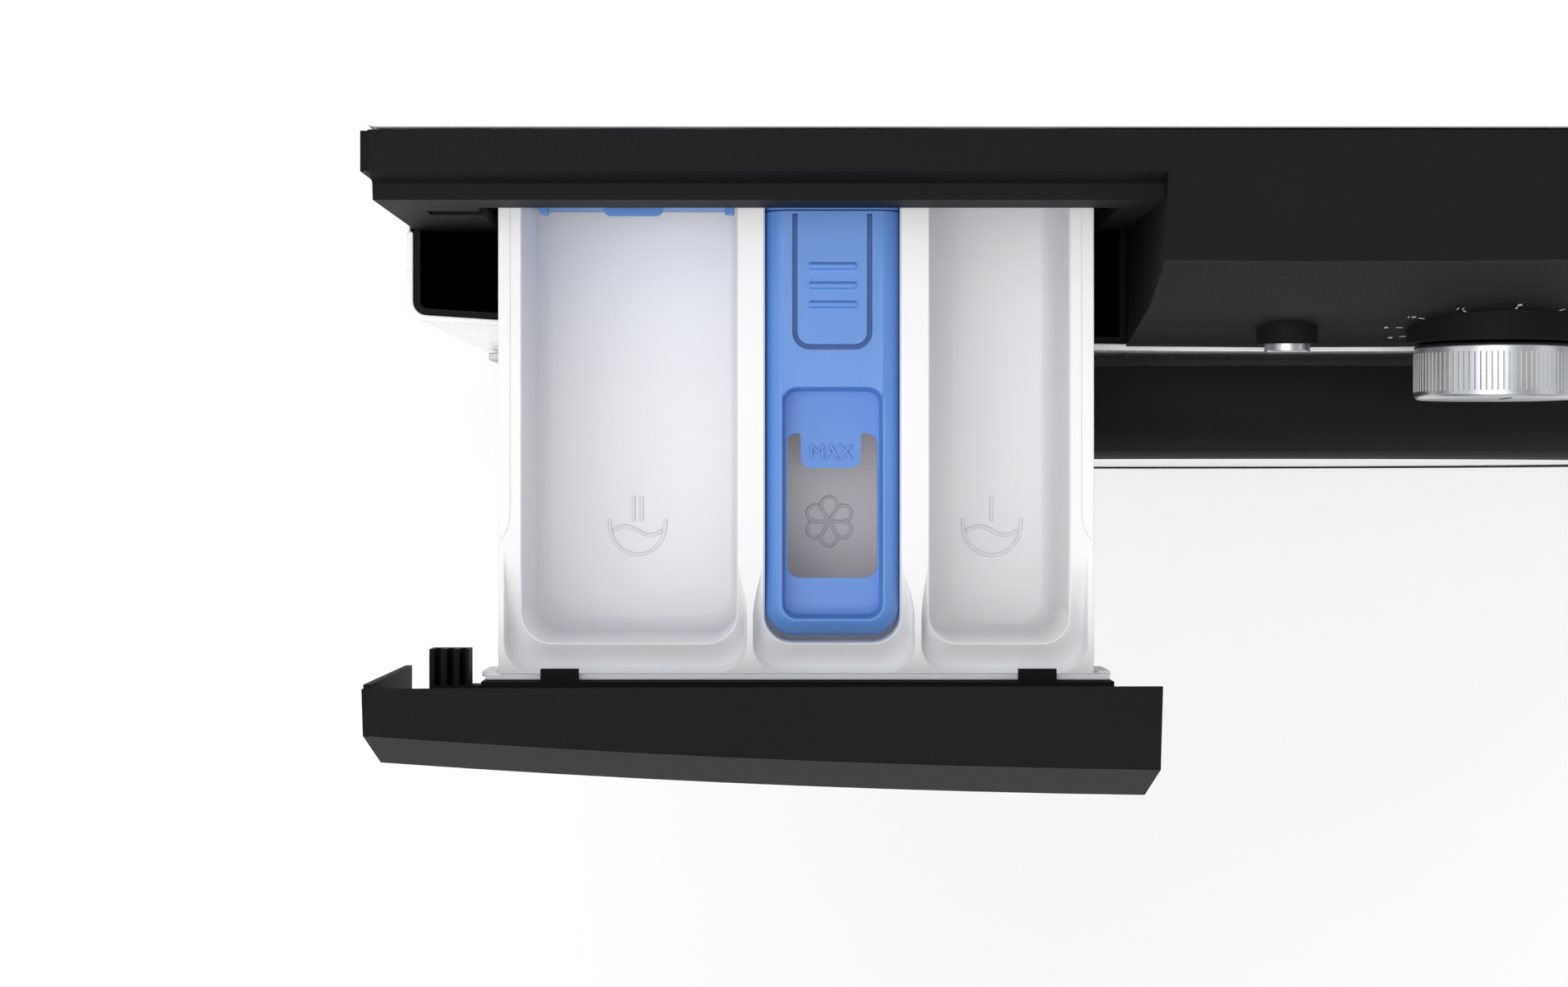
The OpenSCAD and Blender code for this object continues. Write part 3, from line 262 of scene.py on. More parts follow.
# Polypropylene: warm white, a little light passes through and softens its shading
white_pp = surface("white_polypropylene", "F4F4F6", "EEEEF1", (0.34, 0.46), 1.4, 0.02, patch_mm=120,
                   **{"Subsurface Weight": 0.12, "Subsurface Scale": 0.004})
mm = 0.001
rim_z = 803.0
floor_z = 741.0


def outline(corners, steps=8):
    """The points of a closed path whose corners (x, y, radius) are rounded, in mm."""
    points = []
    for k, (x, y, radius) in enumerate(corners):
        here = Vector((x, y))
        if radius == 0:
            points.append(here)
            continue
        back = (Vector(corners[k - 1][:2]) - here).normalized()
        onward = (Vector(corners[(k + 1) % len(corners)][:2]) - here).normalized()
        half = back.angle(onward) / 2
        centre = here + (back + onward).normalized() * radius / math.sin(half)
        first = here + back * radius / math.tan(half) - centre
        sweep = first.angle_signed(here + onward * radius / math.tan(half) - centre)
        for step in range(steps + 1):
            turned = Matrix.Rotation(-sweep * step / steps, 2) @ first
            points.append(centre + turned)
    return points


def raised(points, z):
    """The points of a path as a ring at one height, or at a height for each point."""
    heights = z if isinstance(z, list) else [z] * len(points)
    return [Vector((p.x, p.y, h)) * mm for p, h in zip(points, heights)]


def skin(bm, rings, fill_last=False):
    """Faces between rings that have the same count of points, and over the last one if it is asked for."""
    made = [[bm.verts.new(p) for p in ring] for ring in rings]
    for near, far in zip(made, made[1:]):
        for k in range(len(near)):
            after = (k + 1) % len(near)
            bm.faces.new((near[k], near[after], far[after], far[k]))
    if fill_last:
        bm.faces.new(made[-1])
    return made


def plate(bm, *loops):
    """A flat sheet inside the first ring of vertices and outside the others."""
    edges = []
    for loop in loops:
        for k in range(len(loop)):
            pair = (loop[k], loop[(k + 1) % len(loop)])
            edges.append(bm.edges.get(pair) or bm.edges.new(pair))
    bmesh.ops.triangle_fill(bm, use_beauty=True, use_dissolve=False, edges=edges)


def finished(name, bm, finish, sharp=35):
    """The piece made, with its doubles merged, its faces turned outward and its edges kept crisp."""
    bmesh.ops.remove_doubles(bm, verts=bm.verts, dist=2e-6)
    bmesh.ops.dissolve_degenerate(bm, edges=bm.edges, dist=1e-6)
    bmesh.ops.recalc_face_normals(bm, faces=bm.faces)
    mesh = bpy.data.meshes.new(name)
    bm.to_mesh(mesh)
    bm.free()
    mesh.shade_smooth()
    mesh.set_sharp_from_angle(angle=math.radians(sharp))
    return link(name, mesh, finish)


def eased_in(t):
    """0 to 1 with a soft start and end."""
    t = min(max(t, 0.0), 1.0)
    return t * t * (3 - 2 * t)


# left and right wall, left and right basin edge, corner radius, fillet at the left, right and front
compartments = {
    "main": (-254.0, -185.5, -259.2, -182.65, 10.0, 5.0, 3.0, 6.0),
    "soft": (-177.5, -134.0, -180.84, -129.8, 9.0, 3.0, 3.0, 3.0),
    "pre": (-125.5, -80.7, -127.75, -75.4, 9.0, 11.0, 4.0, 3.0),
}
well_front, well_back, basin_front = -368.1, -167.6, -377.4
flare_from, flare_to, slit_from, basin_deep = -342.2, -360.6, -338.8, 10.0
outer_sides = (-259.2, -75.4)
side_steps = (0.0, 0.02, 0.12, 0.2, 0.3, 0.42, 0.55, 0.68, 0.82, 0.95)


def compartment_path(left, right, front, back, radius, edge_left=None, edge_right=None):
    """A compartment's outline. Its sides spread to the basin's edges, if given, as they near the front."""
    def side(x, edge):
        made = []
        for t in side_steps:
            y = slit_from + t * (front + radius - slit_from)
            spread = 0.0
            if edge in outer_sides:
                spread = 1.0 if t > 0 else 0.0
            elif edge is not None:
                run = min(max((flare_from - y) / (flare_from - flare_to), 0), 1)
                spread = math.sin(run * math.pi / 2) ** 1.3
            made.append((x + ((edge if edge is not None else x) - x) * spread, y, 0))
        return made
    fore_left = edge_left if edge_left is not None else left
    fore_right = edge_right if edge_right is not None else right
    return outline([(fore_left, front, radius), (fore_right, front, radius)]
                   + side(right, edge_right)[::-1]
                   + [(right, back, 4.0), (left, back, 4.0)] + side(left, edge_left))


bm = bmesh.new()
mouths = []
for left, right, edge_left, edge_right, radius, fillet_l, fillet_r, fillet_f in compartments.values():
    mouth = compartment_path(left, right, basin_front, well_back, radius, edge_left, edge_right)
    lip = compartment_path(left, right, well_front, well_back, radius)
    deep = []
    for p in mouth:
        start = slit_from if min(abs(p.x - e) for e in outer_sides) < 3 else flare_from
        deep.append(basin_deep * eased_in((start - p.y) / 32))
    rings = []
    for across, fall in ((1, 0), (0.995, 0.12), (0.97, 0.55), (0.93, 0.85), (0.87, 1), (0.7, 0.93),
                         (0.5, 0.76), (0.3, 0.56), (0.12, 0.4), (0.03, 0.34), (0, 0.34)):
        rings.append([Vector((i.x + (o.x - i.x) * across, i.y + (o.y - i.y) * across, rim_z - d * fall)) * mm
                      for i, o, d in zip(lip, mouth, deep)])
    # the lip turns over, the walls fall to the floor, a fillet runs round the floor
    for inset, down in ((0.12, 0.25), (0.5, 0.9)):
        ring = compartment_path(left + inset, right - inset, well_front + inset,
                                well_back - inset, radius - inset)
        rings.append(raised(ring, [rim_z - 0.34 * d - down for d in deep]))
    foot_rise = max(fillet_l, fillet_r, fillet_f)
    draft = 0.7
    for part in range(7):
        turn = math.radians(90 * part / 6)
        run, drop = 1 - math.cos(turn), math.sin(turn)
        ring = compartment_path(left + draft + fillet_l * run, right - draft - fillet_r * run,
                                well_front + 1.6 + fillet_f * run, well_back - draft - 4 * run, radius - 1)
        rings.append(raised(ring, floor_z + foot_rise * (1 - drop)))
    made = skin(bm, rings, fill_last=True)
    mouths.append(made[0])

# the rim's shadow grooves curve out to its edge where the basins begin
for edge, inward in ((-261.0, 1), (-73.4, -1)):
    track = [(3.65, -158.0), (3.65, -326.0), (3.5, -329.0), (2.9, -331.6), (1.9, -333.6), (0.5, -335.2)]
    near = [(edge + inward * x, y, 0) for x, y in track]
    far = [(edge + inward * (x + 0.42), y - 0.1, 0) for x, y in track]
    groove = outline(near + far[::-1])
    mouths.append(skin(bm, [raised(groove, rim_z), raised(groove, rim_z - 0.5)], fill_last=True)[0])


def box_path(x0, x1, y0, y1, radius=1.0):
    """A rectangle's outline with its corners rounded."""
    return outline([(x0, y0, radius), (x1, y0, radius), (x1, y1, radius), (x0, y1, radius)], steps=4)


tray_sides = (-261.0, -73.4, -377.7, -155.6)
rim = [box_path(tray_sides[0] + i, tray_sides[1] - i, tray_sides[2] + i, tray_sides[3] - i)
       for i in (0.3, 0, 2.0)]
body_path = box_path(-256.4, -78.4, -370.4, -158.0, 6.0)
skirt_z, under_rim_z, bottom_z = 773, 790, 738.4
shell = skin(bm, [raised(rim[0], rim_z), raised(rim[1], rim_z - 0.3), raised(rim[1], skirt_z),
                  raised(rim[2], skirt_z), raised(rim[2], under_rim_z), raised(body_path, under_rim_z),
                  raised(body_path, 739.5), raised(box_path(-255, -79.8, -369, -159.4, 5.0), bottom_z)],
             fill_last=True)
plate(bm, shell[0], *mouths)
tray = finished("drawer_tray_moulding", bm, white_pp, sharp=30)
fit(tray, "drawer", "tray_white", "drawer_tray")

# the flange that the drawer's front clips to, and its two ears
bm = bmesh.new()
flange_bar = (-265.0, -68.4, -379.4, -377.6, 760, 802.9)
ears = ((-266.8, -261.9, -378.8, -376.9, 770, 795), (-71.5, -67.4, -378.8, -376.9, 770, 795))
for x0, x1, y0, y1, z0, z1 in (flange_bar, *ears):
    path = box_path(x0, x1, y0, y1, 0.5)
    tight = box_path(x0 + 0.3, x1 - 0.3, y0 + 0.3, y1 - 0.3, 0.3)
    ends = skin(bm, [raised(tight, z1), raised(path, z1 - 0.3), raised(path, z0)], fill_last=True)
    bm.faces.new(ends[0])
fit(finished("drawer_tray_flange", bm, white_pp), "drawer", "tray_white")


def strokes(name, lines, radius_mm, finish, closed=False, body="drawer", slot="tray_white"):
    """Raised lines: round ribs along each list of points, given in mm."""
    curve = bpy.data.curves.new(name, "CURVE")
    curve.dimensions = "3D"
    curve.bevel_depth = radius_mm * mm
    curve.bevel_resolution = 3
    curve.use_fill_caps = True
    for line in lines:
        spline = curve.splines.new("POLY")
        spline.points.add(len(line) - 1)
        spline.use_cyclic_u = closed or (Vector(line[0]) - Vector(line[-1])).length < 1e-6
        for point, place_mm in zip(spline.points, line):
            point.co = (*(Vector(place_mm) * mm), 1)
    drawn = bpy.data.objects.new(name, curve)
    scene.collection.objects.link(drawn)
    bpy.context.view_layer.update()
    mesh = bpy.data.meshes.new_from_object(drawn.evaluated_get(bpy.context.evaluated_depsgraph_get()))
    bpy.data.objects.remove(drawn)
    mesh.shade_smooth()
    mesh.set_sharp_from_angle(angle=math.radians(50))
    return fit(link(name, mesh, finish), body, slot)


sign_z = floor_z + 0.45


def bowl(x0, x1, top, bottom):
    """A wash bowl: its rounded side and the wave of water in it."""
    middle, half, deep = (x0 + x1) / 2, (x1 - x0) / 2, top - bottom
    side = [(middle - half * math.cos(math.radians(a)), top - deep * math.sin(math.radians(a)) ** 0.8, sign_z)
            for a in range(0, 181, 10)]
    wave = [(x0 + 1.2 + (x1 - x0 - 2.4) * t / 16, top - 3.9 + 1.5 * math.sin(t / 8 * math.pi), sign_z)
            for t in range(17)]
    return [side, wave]


signs = bowl(-229.3, -210.6, -329.2, -341.1) + bowl(-111.3, -91.8, -329.2, -341.3)
for x in (-221.3, -218.6, -101.7):
    signs.append([(x, -321.7, sign_z), (x, -330.1, sign_z)])
flower = Vector((-155.9, -330.05))
for petal in range(6):
    lean = math.radians(90 + 60 * petal)
    tip = []
    for step in range(13):
        turn = math.radians(-120 + 20 * step)
        along = 5.4 + 2.7 * math.cos(turn)
        across = 2.7 * math.sin(turn)
        tip.append((flower.x + along * math.cos(lean) - across * math.sin(lean),
                    flower.y + along * math.sin(lean) + across * math.cos(lean), sign_z))
    between = lean + math.pi / 6
    signs.append(tip)
    signs.append([(flower.x, flower.y, sign_z),
                  (flower.x + 4.7 * math.cos(between), flower.y + 4.7 * math.sin(between), sign_z)])
strokes("drawer_tray_signs", signs, 0.6, white_pp)

# ---- Detergent drawer: siphon insert ----
# A blue polypropylene cover drops into the softener well; its sunk dish has a window and a fill mark,
# and a thumb tongue, cut free by a slot, lifts it out. Water is drawn off through its siphon.

# Pigmented polypropylene: an even clear blue with a soft sheen
blue_pp = surface("blue_polypropylene", "5F93DA", "5789D2", (0.34, 0.44), 1.2, 0.02, patch_mm=80,
                  **{"Subsurface Weight": 0.08, "Subsurface Scale": 0.002})
top_z = rim_z + 0.6
side_l, side_r, nose, tail = -176.9, -134.6, -365.5, -231.7


def cover_path(inset, radius=9.0, end=tail):
    """The insert's outline, drawn in at its sides and nose."""
    return outline([(side_l + inset, nose + inset, radius), (side_r - inset, nose + inset, radius),
                    (side_r - inset, end, 0.3), (side_l + inset, end, 0.3)])


def dish_path(grow, radius=4.6):
    """The sunk dish's outline."""
    x0, x1, y0, y1, r = -171.5 - grow, -140.0 + grow, -359.9 - grow, -287.5 + grow, radius + grow
    return outline([(x0, y0, r), (x1, y0, r), (x1, y1, r), (x0, y1, r)])


def window_path():
    """The window in the dish's floor, with the fill mark's tab at its back."""
    front, back, tab = -347.5, -301.5, -312.6
    return outline([(-170.1, front, 4.2), (-141.4, front, 4.2), (-141.4, back, 3.6), (-146.6, back, 1.0),
                    (-146.6, tab, 3.4), (-165.7, tab, 3.4), (-165.7, back, 1.0), (-170.1, back, 3.0)])


bm = bmesh.new()
ends_at = tail - 0.9
cut = outline([(-168.4, -275.4, 5.5), (-143.2, -275.4, 5.5), (-143.2, ends_at, 0.0), (-144.9, ends_at, 0.0),
               (-144.9, -273.7, 3.8), (-166.7, -273.7, 3.8), (-166.7, ends_at, 0.0), (-168.4, ends_at, 0.0)])
skirt = skin(bm, [raised(cover_path(5.2, 5.0), top_z), raised(cover_path(4.2, 5.6), top_z - 0.25),
                  raised(cover_path(3.0, 6.4), top_z - 0.9), raised(cover_path(1.8, 7.4), top_z - 2.0),
                  raised(cover_path(0.8, 8.3), top_z - 3.4), raised(cover_path(0.15, 8.9), top_z - 5.0),
                  raised(cover_path(0.0), top_z - 6.0), raised(cover_path(0.0), top_z - 14.0)])
dish = skin(bm, [raised(dish_path(0.9), top_z), raised(dish_path(0.35), top_z - 0.15),
                 raised(dish_path(0.0), top_z - 0.7), raised(dish_path(-0.3), top_z - 9.4),
                 raised(dish_path(-0.5), top_z - 10.1), raised(dish_path(-0.9), top_z - 10.5)])
window = skin(bm, [raised(window_path(), top_z - 10.5), raised(window_path(), top_z - 14.0)])
groove = skin(bm, [raised(cut, top_z), raised(cut, top_z - 5.0)])
plate(bm, skirt[0], dish[0], groove[0])
plate(bm, dish[-1], window[0])
plate(bm, skirt[-1], window[-1])
plate(bm, groove[-1])
fit(finished("siphon_insert_moulding", bm, blue_pp, sharp=40), "siphon", "siphon_blue", "siphon_insert")

ribs = [[(-163.0, y, top_z - 0.1), (-148.4, y, top_z - 0.1)] for y in (-249.1, -255.2, -261.2)]
strokes("siphon_grip_ribs", ribs, 1.2, blue_pp, body="siphon", slot="siphon_blue")
mark = bpy.data.curves.new("fill_mark", "FONT")
mark.body = "MAX"
mark.size = 6.4 * mm
mark.align_x = "CENTER"
mark.extrude = 0.7 * mm
mark.bevel_depth = 0.08 * mm
mark.bevel_resolution = 1
written = bpy.data.objects.new("fill_mark", mark)
scene.collection.objects.link(written)
bpy.context.view_layer.update()
letters = bpy.data.meshes.new_from_object(written.evaluated_get(bpy.context.evaluated_depsgraph_get()))
bpy.data.objects.remove(written)
letters.transform(Matrix.Translation((-156.1 * mm, -309.6 * mm, (top_z - 10.4) * mm)))
fit(link("siphon_fill_mark", letters, blue_pp), "siphon", "siphon_blue")

# behind the insert, a fixed seat of the same blue carries its tail
bm = bmesh.new()
seat = [outline([(side_l + i, tail + 0.4, 0.2), (side_r - i, tail + 0.4, 0.2), (side_r - i, -205.0, 2.0),
                 (side_l + i, -205.0, 2.0)], steps=3) for i in (5.2, 3.0, 0.8, 0.0)]
ends = skin(bm, [raised(seat[0], top_z), raised(seat[1], top_z - 0.9), raised(seat[2], top_z - 3.4),
                 raised(seat[3], top_z - 6.0), raised(seat[3], top_z - 14.0)], fill_last=True)
bm.faces.new(ends[0])
fit(finished("siphon_seat", bm, blue_pp), "drawer", "siphon_blue")

# the flap for liquid detergent hangs behind the panel's lip; its thumb tab and two clips reach forward
bm = bmesh.new()
flap_plate = (-252.0, -187.5, -227.6, -225.8, 751.0, 790.0)
flap_tab = (-228.3, -209.3, -232.6, -225.9, 793.4, 795.4)
flap_clips = ((-248.6, -246.0, -232.0, -226.0, 788.0, 795.0), (-189.8, -186.9, -232.0, -226.0, 788.0, 795.0))
flap_neck = (-224.0, -213.0, -227.6, -225.8, 789.0, 794.4)
for x0, x1, y0, y1, z0, z1 in (flap_plate, flap_tab, flap_neck, *flap_clips):
    curve_r = 2.2 if (x0, y0) == flap_tab[0:3:2] else 0.4
    path = outline([(x0, y0, curve_r), (x1, y0, curve_r), (x1, y1, 0.4), (x0, y1, 0.4)], steps=4)
    tight = outline([(x0 + 0.3, y0 + 0.3, curve_r - 0.2), (x1 - 0.3, y0 + 0.3, curve_r - 0.2),
                     (x1 - 0.3, y1 - 0.3, 0.2), (x0 + 0.3, y1 - 0.3, 0.2)], steps=4)
    ends = skin(bm, [raised(tight, z1), raised(path, z1 - 0.3), raised(path, z0)], fill_last=True)
    bm.faces.new(ends[0])
fit(finished("liquid_flap_moulding", bm, blue_pp), "flap", "siphon_blue", "liquid_flap")

# ---- Detergent drawer: front ----
# The drawer's front is moulded in the same black ABS as the panel; its bevelled face carries the bow on,
# and its top is drawn in to a grip. Two clips hold it to the tray's flange.

eased("drawer_front", black_abs, 0.9, steps=3)

# ---- Dispenser housing ----
# The white bay that the drawer slides in, open at the front; the valves feed water in at its top.

eased("dispenser_housing", white_pp, 0.4)

# ---- Control panel: dial and marks ----
# Printed ticks and cycle numbers ring the programme knob, and its rim is knurled for wet hands.
# The marks are screen-printed in pale grey ink; the knob's rim is moulded, then chromed.

# Screen-print ink: flat pale grey, a hair above the plastic
ink = surface("screen_print_ink", "C9CBCC", "BDBFC1", (0.5, 0.6), 0.4, 0.005, patch_mm=20)
knob_lo, knob_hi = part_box("knob")
dial = Vector(((knob_lo.x + knob_hi.x) / 2, knob_lo.y, (knob_lo.z + knob_hi.z) / 2))
knob_r = (knob_hi.z - knob_lo.z) / 2


def face_y(x, z):
    """Where the panel's sloping, bowed face is, in metres, at a place on it."""
    return (-271.2 + (z / mm - 726) * 9.4 / 69 + (x / mm) ** 2 / 8400) * mm


def printed(name, pieces, finish, body, slot):
    """Ink laid on the panel: flat shapes given as lists of (x, z) in metres, each lifted off the face."""
    bm = bmesh.new()
    for shape in pieces:
        front = [bm.verts.new((x, face_y(x, z) - 0.00012, z)) for x, z in shape]
        rear = [bm.verts.new((x, face_y(x, z) + 0.0002, z)) for x, z in shape]
        bm.faces.new(front)
        bm.faces.new(rear[::-1])
        for k in range(len(shape)):
            after = (k + 1) % len(shape)
            bm.faces.new((front[after], front[k], rear[k], rear[after]))
    return fit(finished(name, bm, finish), body, slot)


def bar(x, z, length, width, turn):
    """A straight tick, its middle at (x, z)."""
    along = Vector((math.sin(turn), math.cos(turn)))
    across = Vector((along.y, -along.x))
    return [tuple(Vector((x, z)) + along * (s * length / 2) + across * (c * width / 2))
            for s, c in ((-1, -1), (1, -1), (1, 1), (-1, 1))]


ticks = []
cycles = 12
for k in range(cycles):
    turn = math.radians(360 / cycles * k)
    away = knob_r + 5.2 * mm
    ticks.append(bar(dial.x + away * math.sin(turn), dial.z + away * math.cos(turn),
                     2.2 * mm, 0.6 * mm, turn))
printed("dial_ticks", ticks, ink, "cabinet", "panel_black")


def lettered(name, words, size_mm, finish, body, slot):
    """Printed figures on the panel, as (text, x, z) in metres."""
    parts = bmesh.new()
    for text, x, z in words:
        typed = bpy.data.curves.new(name, "FONT")
        typed.body = text
        typed.size = size_mm * mm
        typed.align_x = "CENTER"
        typed.align_y = "CENTER"
        typed.extrude = 0.1 * mm
        holder = bpy.data.objects.new(name, typed)
        scene.collection.objects.link(holder)
        bpy.context.view_layer.update()
        drawn = bpy.data.meshes.new_from_object(holder.evaluated_get(bpy.context.evaluated_depsgraph_get()))
        bpy.data.objects.remove(holder)
        drawn.transform(Matrix.Translation((x, face_y(x, z), z)) @ Matrix.Rotation(math.radians(82), 4, "X"))
        parts.from_mesh(drawn)
    mesh = bpy.data.meshes.new(name)
    parts.to_mesh(mesh)
    parts.free()
    return fit(link(name, mesh, finish), body, slot)


figures = []
for k in range(cycles):
    turn = math.radians(360 / cycles * k)
    away = knob_r + 9.6 * mm
    figures.append((str(k) if k else "0", dial.x + away * math.sin(turn), dial.z + away * math.cos(turn)))
lettered("dial_figures", figures, 3.4, ink, "cabinet", "panel_black")

# a pointer line let into the knob's face
bm = bmesh.new()
line_path = outline([(-0.6, 8, 0.5), (0.6, 8, 0.5), (0.6, 23, 0.5), (-0.6, 23, 0.5)], steps=3)
rows = [[Vector((dial.x + p.x * mm, knob_lo.y + d * mm, dial.z + p.y * mm)) for p in line_path]
        for d in (-0.15, 1.0)]
ends = skin(bm, rows, fill_last=True)
bm.faces.new(ends[0])
fit(finished("knob_pointer", bm, black_abs), "programme_knob", "knob_grey")


def grown(name, tree, finish, **values):
    """The mesh that a geometry tree makes, with its inputs set by name."""
    made = link(name, bpy.data.meshes.new(name), finish)
    modifier = made.modifiers.new("grow", "NODES")
    modifier.node_group = tree
    for item in tree.interface.items_tree:
        if item.in_out == "INPUT" and item.name in values:
            modifier[item.identifier] = values[item.name]
    plain(made)
    return made


def geometry_tree(name, **inputs):
    """An empty geometry tree with named inputs, its group input node and a way to close it."""
    tree = bpy.data.node_groups.new(name, "GeometryNodeTree")
    tree.interface.new_socket("Geometry", in_out="OUTPUT", socket_type="NodeSocketGeometry")
    for label, kind in inputs.items():
        tree.interface.new_socket(label, in_out="INPUT", socket_type=kind)
    return tree, add(tree, "NodeGroupInput")


def close(tree, geometry, finish):
    """Ends a tree: its instances are made real, finished in one material and given out."""
    real = add(tree, "GeometryNodeRealizeInstances", {0: geometry})
    dressed = add(tree, "GeometryNodeSetMaterial", {"Geometry": real.outputs[0], "Material": finish})
    add(tree, "NodeGroupOutput", {"Geometry": dressed.outputs[0]})


# knurling: fine ribs round the knob's rim
knurl, given = geometry_tree("knurling", Count="NodeSocketInt", Radius="NodeSocketFloat",
                             Length="NodeSocketFloat", Width="NodeSocketFloat")
ring = add(knurl, "GeometryNodeMeshCircle",
           {"Vertices": given.outputs["Count"], "Radius": given.outputs["Radius"]})
rib = add(knurl, "GeometryNodeMeshCylinder",
          {"Vertices": 6, "Radius": given.outputs["Width"], "Depth": given.outputs["Length"]})
set_out = add(knurl, "GeometryNodeInstanceOnPoints", {"Points": ring.outputs[0], "Instance": rib.outputs[0]})
close(knurl, set_out.outputs[0], satin_chrome)
ribs_made = grown("knob_knurling", knurl, satin_chrome,
                  Count=90, Radius=knob_r - 0.0002, Length=0.0125, Width=0.0004)
mid_rim = Vector((dial.x, knob_lo.y + 0.0087, dial.z))
ribs_made.data.transform(Matrix.Translation(mid_rim) @ Matrix.Rotation(math.pi / 2, 4, "X"))
fit(ribs_made, "programme_knob", "knob_grey")

# ---- Door ----
# A black ABS ring carries a smoked acrylic disc in front and a pressed glass bowl behind it.
# It hangs on a die-cast arm, and a plated grip is let into its edge.

# Pressed borosilicate: clear, slightly green in its thickness, smooth
glass = surface("pressed_glass", "F3F8F6", "EDF5F2", (0.01, 0.03), 60.0, 0.01, patch_mm=200,
                **{"Transmission Weight": 1.0, "IOR": 1.47})
# Filled polypropylene of the tub: mid grey, slightly chalky
grey_pp = surface("filled_polypropylene", "A9ABAC", "9C9FA0", (0.5, 0.62), 1.6, 0.05, patch_mm=70)
eased("door_ring", black_abs, 0.9, steps=3)
eased("door_window", smoked, 0.5)
eased("door_back", grey_pp, 0.8)
eased("door_glass", glass, 0.8)
eased("door_handle", satin_chrome, 0.6)
eased("door_arm", zinc, 0.6)
eased("door_hook", zinc, 0.4)
eased("hinge_bracket", zinc, 0.4)
eased("door_lock", black_abs, 0.5)

# ---- Gasket ----
# The grey EPDM bellows between the door's mouth and the tub folds over itself, so the tub can swing.

# EPDM rubber: matt grey with a talc bloom
rubber = surface("epdm_rubber", "8B8D8F", "7C7E80", (0.6, 0.75), 2.0, 0.04, patch_mm=40)
gasket_lo, gasket_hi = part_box("gasket")
axis = Vector((0, 0, (gasket_lo.z + gasket_hi.z) / 2))


def turned_piece(name, profile, finish, around=96, sharp=40):
    """A solid of revolution about the drum's axis, from its closed section (radius, y) in mm."""
    bm = bmesh.new()
    rings = []
    for k in range(around):
        a = math.tau * k / around
        rings.append([bm.verts.new(axis + Vector((r * math.cos(a), y, r * math.sin(a))) * mm)
                      for r, y in profile])
    for k in range(around):
        near, far = rings[k], rings[(k + 1) % around]
        for i in range(len(profile)):
            j = (i + 1) % len(profile)
            bm.faces.new((near[i], near[j], far[j], far[i]))
    return finished(name, bm, finish, sharp)


centre_line = [(168.8, -257.2), (168.6, -251.0), (170.5, -248.0), (176.0, -247.2), (180.0, -249.8),
               (182.5, -253.6), (185.0, -252.5), (185.6, -247.0), (186.2, -241.0), (188.0, -238.4),
               (190.4, -240.2), (191.2, -244.0), (191.6, -240.0), (191.8, -234.0)]
half_thick = 0.9
thick = []
for k in range(len(centre_line)):
    before = Vector(centre_line[max(k - 1, 0)])
    after = Vector(centre_line[min(k + 1, len(centre_line) - 1)])
    run = (after - before).normalized()
    thick.append(Vector((-run.y, run.x)) * half_thick)
bellows = [tuple(Vector(p) + t) for p, t in zip(centre_line, thick)]
bellows += [tuple(Vector(p) - t) for p, t in zip(centre_line, thick)][::-1]
bellows = [(min(r, 192.2), max(y, -257.4)) for r, y in bellows]
gasket = turned_piece("gasket_bellows", bellows, rubber, sharp=60)
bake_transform(gasket, "cabinet", "tub", start=(0, -0.252, axis.z), end=(0, -0.236, axis.z))
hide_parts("gasket")

# ---- Tub, counterweights and suspension ----
# Two halves of filled polypropylene bolted round a seam, hung from two springs and damped by two struts.
# Concrete blocks steady it; the heater lies in its foot.

# Cast concrete: pale grey with sand grain and air pits
concrete = surface("cast_concrete", "A8A59F", "8D8A84", (0.8, 0.95), 1.1, 0.5, patch_mm=14)
# Bright-rolled stainless: long faint drawing lines
stainless = surface("bright_stainless", "C6C8CA", "B3B6B9", (0.18, 0.3), 0.8, 0.005, patch_mm=50,
                    stretch=(1, 12, 1), Metallic=1.0)
# Die-cast aluminium: dull silver with a mould-chilled skin
cast = surface("die_cast_aluminium", "A9ACAE", "94979A", (0.42, 0.58), 1.4, 0.08, patch_mm=25, Metallic=1.0)
suspended = (
    ("tub_front", grey_pp, 0.8), ("tub_rear", grey_pp, 0.6), ("counterweight_top", concrete, 1.2),
    ("counterweight_front", concrete, 1.2), ("damper_tubes", grey_pp, 0.5), ("damper_rods", zinc, 0.4),
    ("heater", stainless, 0.3), ("bearings", stainless, 0.5), ("motor", cast, 0.8),
    ("motor_pulley", stainless, 0.3), ("drive_belt", rubber, 0.4), ("spider", cast, 0.8),
    ("drum_shaft", stainless, 0.5), ("drum_pulley", cast, 0.6), ("drum_back", stainless, 0.6),
    ("lifters", white_pp, 0.8))
for node, finish, edge in suspended:
    eased(node, finish, edge)

